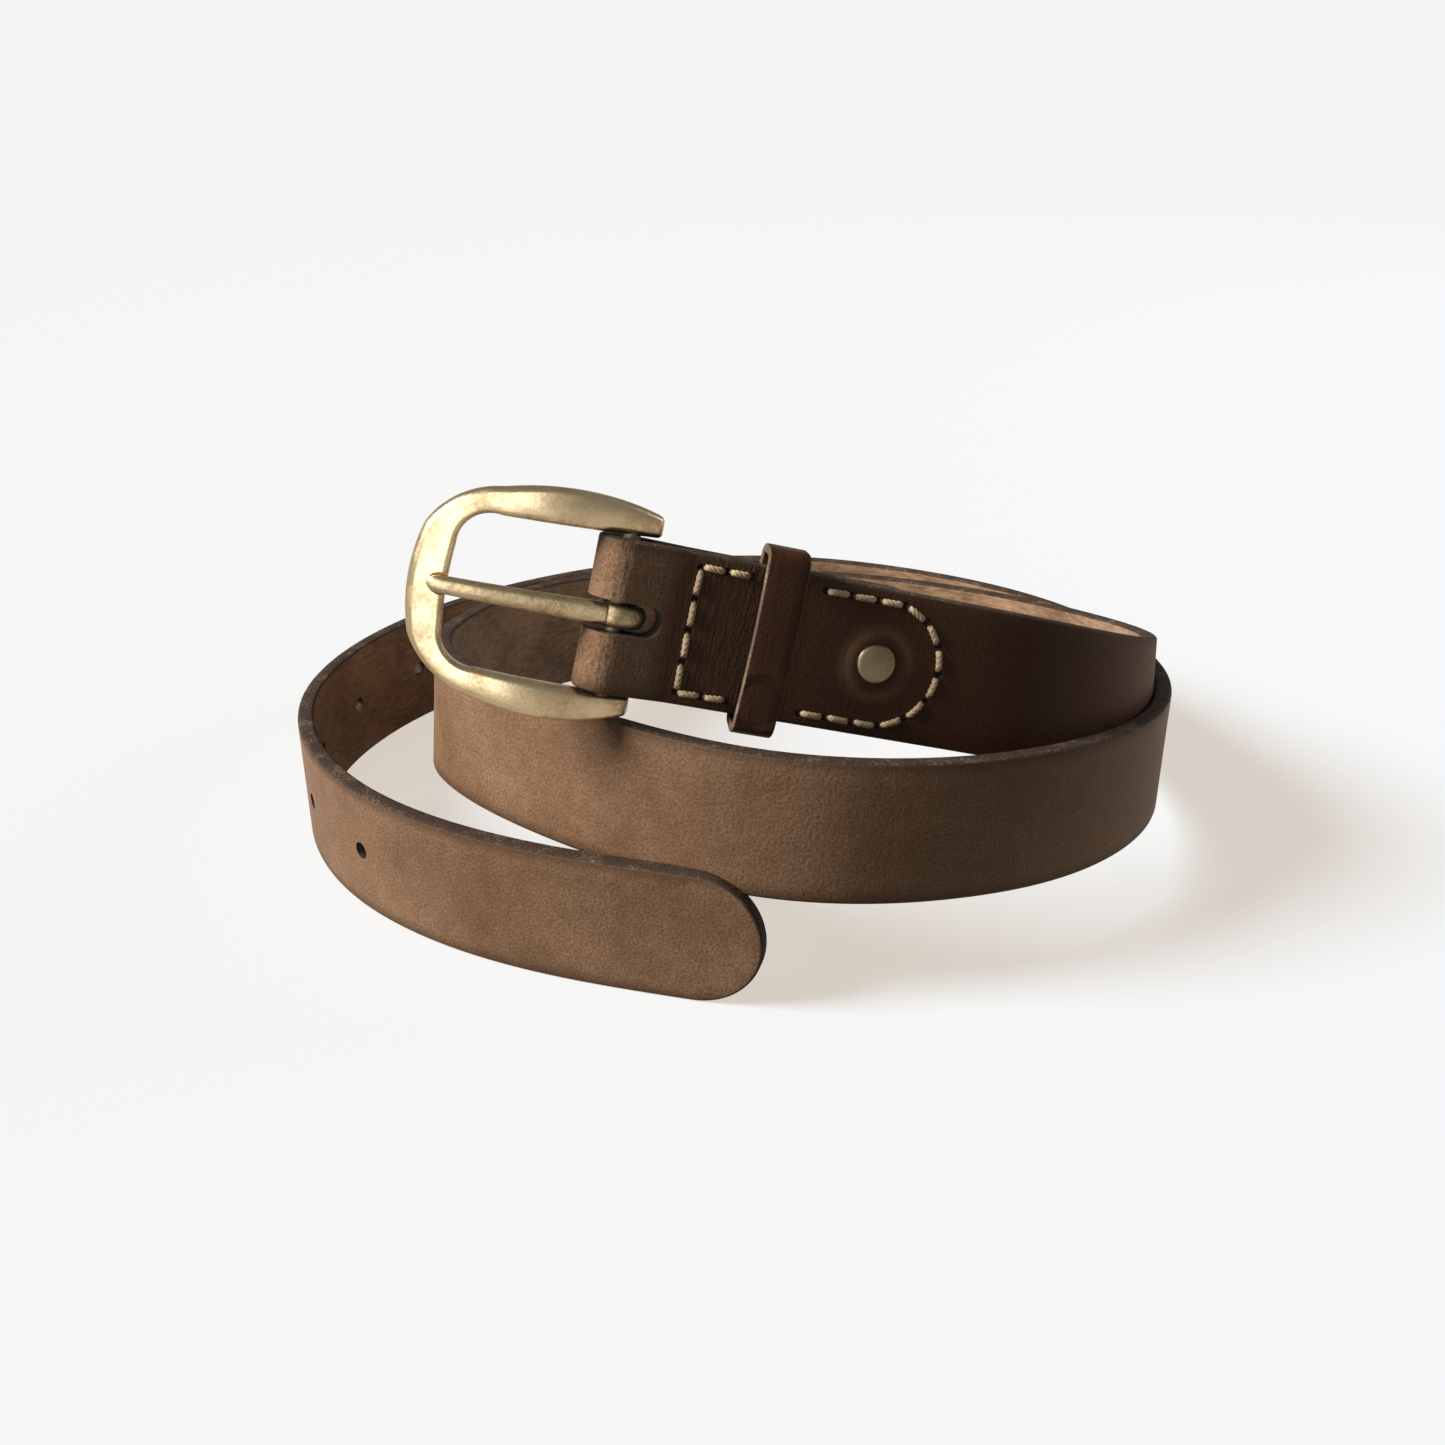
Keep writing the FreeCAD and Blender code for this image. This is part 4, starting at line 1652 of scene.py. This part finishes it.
# ------------------------------------------------------------------------------------------ studio
@dataclass
class Studio:
    """Pale floor, soft lights and the camera."""

    camera_place: tuple[float, float, float] = (-2.35, -341.4, 179.5)
    camera_pitch: float = 25.3
    lens: float = 36.37
    backdrop: float = 0.905
    air_mirrored: float = 0.2
    fill: float = 0.035
    # The bluish seen colour and the warm glow sum to neutral where the key lights the floor and leave the
    # shadowed floor warm: a painted warm bounce from the leather.
    floor_seen: Colour = (0.248, 0.317, 0.382)
    floor_matt: Colour = (0.1, 0.1, 0.1)
    floor_glow: Colour = (1.0, 0.9, 0.8)
    glow_seen: float = 0.66
    glow_mirrored: float = 0.42
    glow_matt: float = 0.07

    @staticmethod
    def strength(ink: Ink, seen: float, mirrored: float, matt: float) -> bpy.types.NodeSocket:
        """A strength that the camera sees, one that metal mirrors and one that lights matt surfaces.

        Args:
            ink: The material's Ink.
            seen: Strength that the camera sees.
            mirrored: Strength that metal mirrors.
            matt: Strength that lights matt surfaces.

        Returns:
            The output.
        """
        path = ink.node("ShaderNodeLightPath")
        mixed = matt
        for ray, level in (("Is Camera Ray", seen), ("Is Glossy Ray", mirrored)):
            mixed = ink.node("ShaderNodeMath", set_operation="MULTIPLY_ADD", i0=path.outputs[ray],
                             i1=level - matt, i2=mixed).outputs[0]
        return mixed

    def floor(self) -> None:
        """Large pale floor whose own glow keeps the shadows faint."""
        clear_selection()
        bpy.ops.mesh.primitive_plane_add(size=30.0)
        ground = finish_name(bpy.context.object, "studio_floor")
        material, ink, shader = start_material("pale_floor")
        path = ink.node("ShaderNodeLightPath")
        tone = ink.mix(path.outputs["Is Camera Ray"], self.floor_matt, self.floor_seen)
        glow = self.strength(ink, self.glow_seen, self.glow_mirrored, self.glow_matt)
        set_inputs(ink, shader, Base_Color=tone, Roughness=0.95, Specular_IOR_Level=0.0,
                   Emission_Color=self.floor_glow, Emission_Strength=glow)
        ground.data.materials.append(material)

    @staticmethod
    def lamp(name: str, kind: str, place: Sequence[float], aim: Sequence[float], size: float, power: float,
             colour: Colour = (1.0, 1.0, 1.0), matt: bool = True) -> None:
        """One soft light that looks at a point; its size is an angle in degrees for the sun.

        Args:
            name: The lamp's name.
            kind: "SUN" or "AREA".
            place: Where it stands.
            aim: The point it looks at.
            size: Its width, or its angle for the sun.
            power: Its strength.
            colour: Its colour.
            matt: Whether it lights matt surfaces, or only shows as a reflection.
        """
        light = bpy.data.lights.new(name, kind)
        light.energy, light.color = power, colour
        if kind == "SUN":
            light.angle = math.radians(size)
        else:
            light.shape, light.size = "SQUARE", size
        lamp = bpy.data.objects.new(name, light)
        bpy.context.scene.collection.objects.link(lamp)
        lamp.location, lamp.visible_diffuse = place, matt
        lamp.rotation_euler = (Vector(aim) - Vector(place)).to_track_quat("-Z", "Y").to_euler()

    def lights(self) -> None:
        """Key light from the upper left, a wide panel for the metal and a faint one from the right."""
        self.lamp("key", "SUN", (-0.80, -0.13, 0.59), (0.0, 0.0, 0.0), 24.0, 5.2, (1.0, 0.985, 0.965))
        self.lamp("panel", "AREA", (-0.38, -1.0, 0.42), (-0.03, -0.05, 0.08), 1.2, 9.0, matt=False)
        self.lamp("rim", "AREA", (1.1, 0.3, 0.45), (0.08, 0.0, 0.04), 0.5, 2.6)
        world = bpy.data.worlds.new("studio_air")
        bpy.context.scene.world = world
        world.use_nodes = True
        ink = Ink(world.node_tree)
        shade = ink.node("ShaderNodeBackground", Color=(1.0, 1.0, 1.0),
                         Strength=self.strength(ink, self.backdrop, self.air_mirrored, self.fill))
        ink.node("ShaderNodeOutputWorld", Surface=shade.outputs["Background"])

    def camera(self) -> None:
        """Camera at the height of a person looking down at a table."""
        data = bpy.data.cameras.new("studio_camera")
        data.sensor_width, data.lens = 36.0, self.lens
        data.clip_start, data.clip_end = 0.01, 50.0
        camera = bpy.data.objects.new("studio_camera", data)
        bpy.context.scene.collection.objects.link(camera)
        camera.location = [value * MM for value in self.camera_place]
        camera.rotation_euler = (math.radians(90.0 - self.camera_pitch), 0.0, 0.0)
        bpy.context.scene.camera = camera
        bpy.context.scene.view_settings.view_transform = "Standard"


def main() -> None:
    """Builds the belt piece by piece, then the studio."""
    logging.basicConfig(level=logging.INFO, format="%(name)s: %(message)s")
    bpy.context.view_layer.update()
    buckle = BuckleFrame()
    line = MiddleLine(buckle)
    plan = StitchPlan()
    pores, patina = pore_group(), patina_group()
    rivet_at = line.front(Rivet.at)
    # The third colour, from front(185) onward, paints the buckle end near-black: partly darker leather,
    # partly painted shade.
    grain = GrainLeather("brown_grain", (0.2, 0.108, 0.056), (0.38, 0.222, 0.13), (0.042, 0.0125, 0.005),
                         line.front(185.0), line.front(78.0), 15.0, (rivet_at, 0.0),
                         line.front(13.0), line.front(5.0), line.front(40.0)).build(pores)
    flesh = FleshLeather("brown_flesh", (0.14, 0.066, 0.024), (0.48, 0.28, 0.14)).build()
    edge = CutEdge("burnished_edge", (0.05, 0.028, 0.016), (0.27, 0.18, 0.115), 0.13).build()
    loop = GrainLeather("keeper_grain", (0.05, 0.018, 0.008), (0.1, 0.04, 0.018), (0.05, 0.02, 0.01),
                        500.0, 600.0, 4.6).build(pores)
    raw = CutEdge("keeper_raw_edge", (0.14, 0.085, 0.05), (0.4, 0.29, 0.19), 0.12).build()
    brass = AgedMetal("old_brass", (0.86, 0.68, 0.42), (0.36, 0.24, 0.11), 0.7, 0.27, 0.14).build(patina)
    cast = AgedMetal("cast_brass", (0.7, 0.55, 0.33), (0.22, 0.15, 0.08), 0.9, 0.34, 0.35).build(patina)
    # The rivet's brass is darkened to the tone it shows in the shaded buckle end: partly tarnish, partly
    # painted shade.
    worn = AgedMetal("worn_rivet", (0.26, 0.205, 0.12), (0.15, 0.115, 0.07), 0.7, 0.32, 0.15).build(patina)
    steel = AgedMetal("dark_steel", (0.26, 0.22, 0.16), (0.12, 0.1, 0.07), 0.6, 0.4, 0.05).build(patina)
    thread = WaxedThread("waxed_thread", (0.5, 0.34, 0.17), (0.85, 0.63, 0.37)).build()

    made = [Strap(line, plan).build(grain, flesh, edge), Keeper().build(loop, raw, buckle)]
    shapes = Buckle()
    made += [shapes.build_frame(brass, buckle), shapes.build_tongue(cast, buckle)]
    made.append(Bar().build(steel, buckle))
    made += Rivet().build(worn, buckle)
    made += [Thread(plan).build(row, thread, buckle) for row in Row]
    for piece in made:
        log.info("%s: %d faces", piece.name, len(piece.data.polygons))

    studio = Studio()
    studio.floor()
    studio.lights()
    studio.camera()
    clear_selection()


if __name__ == "__main__":
    main()
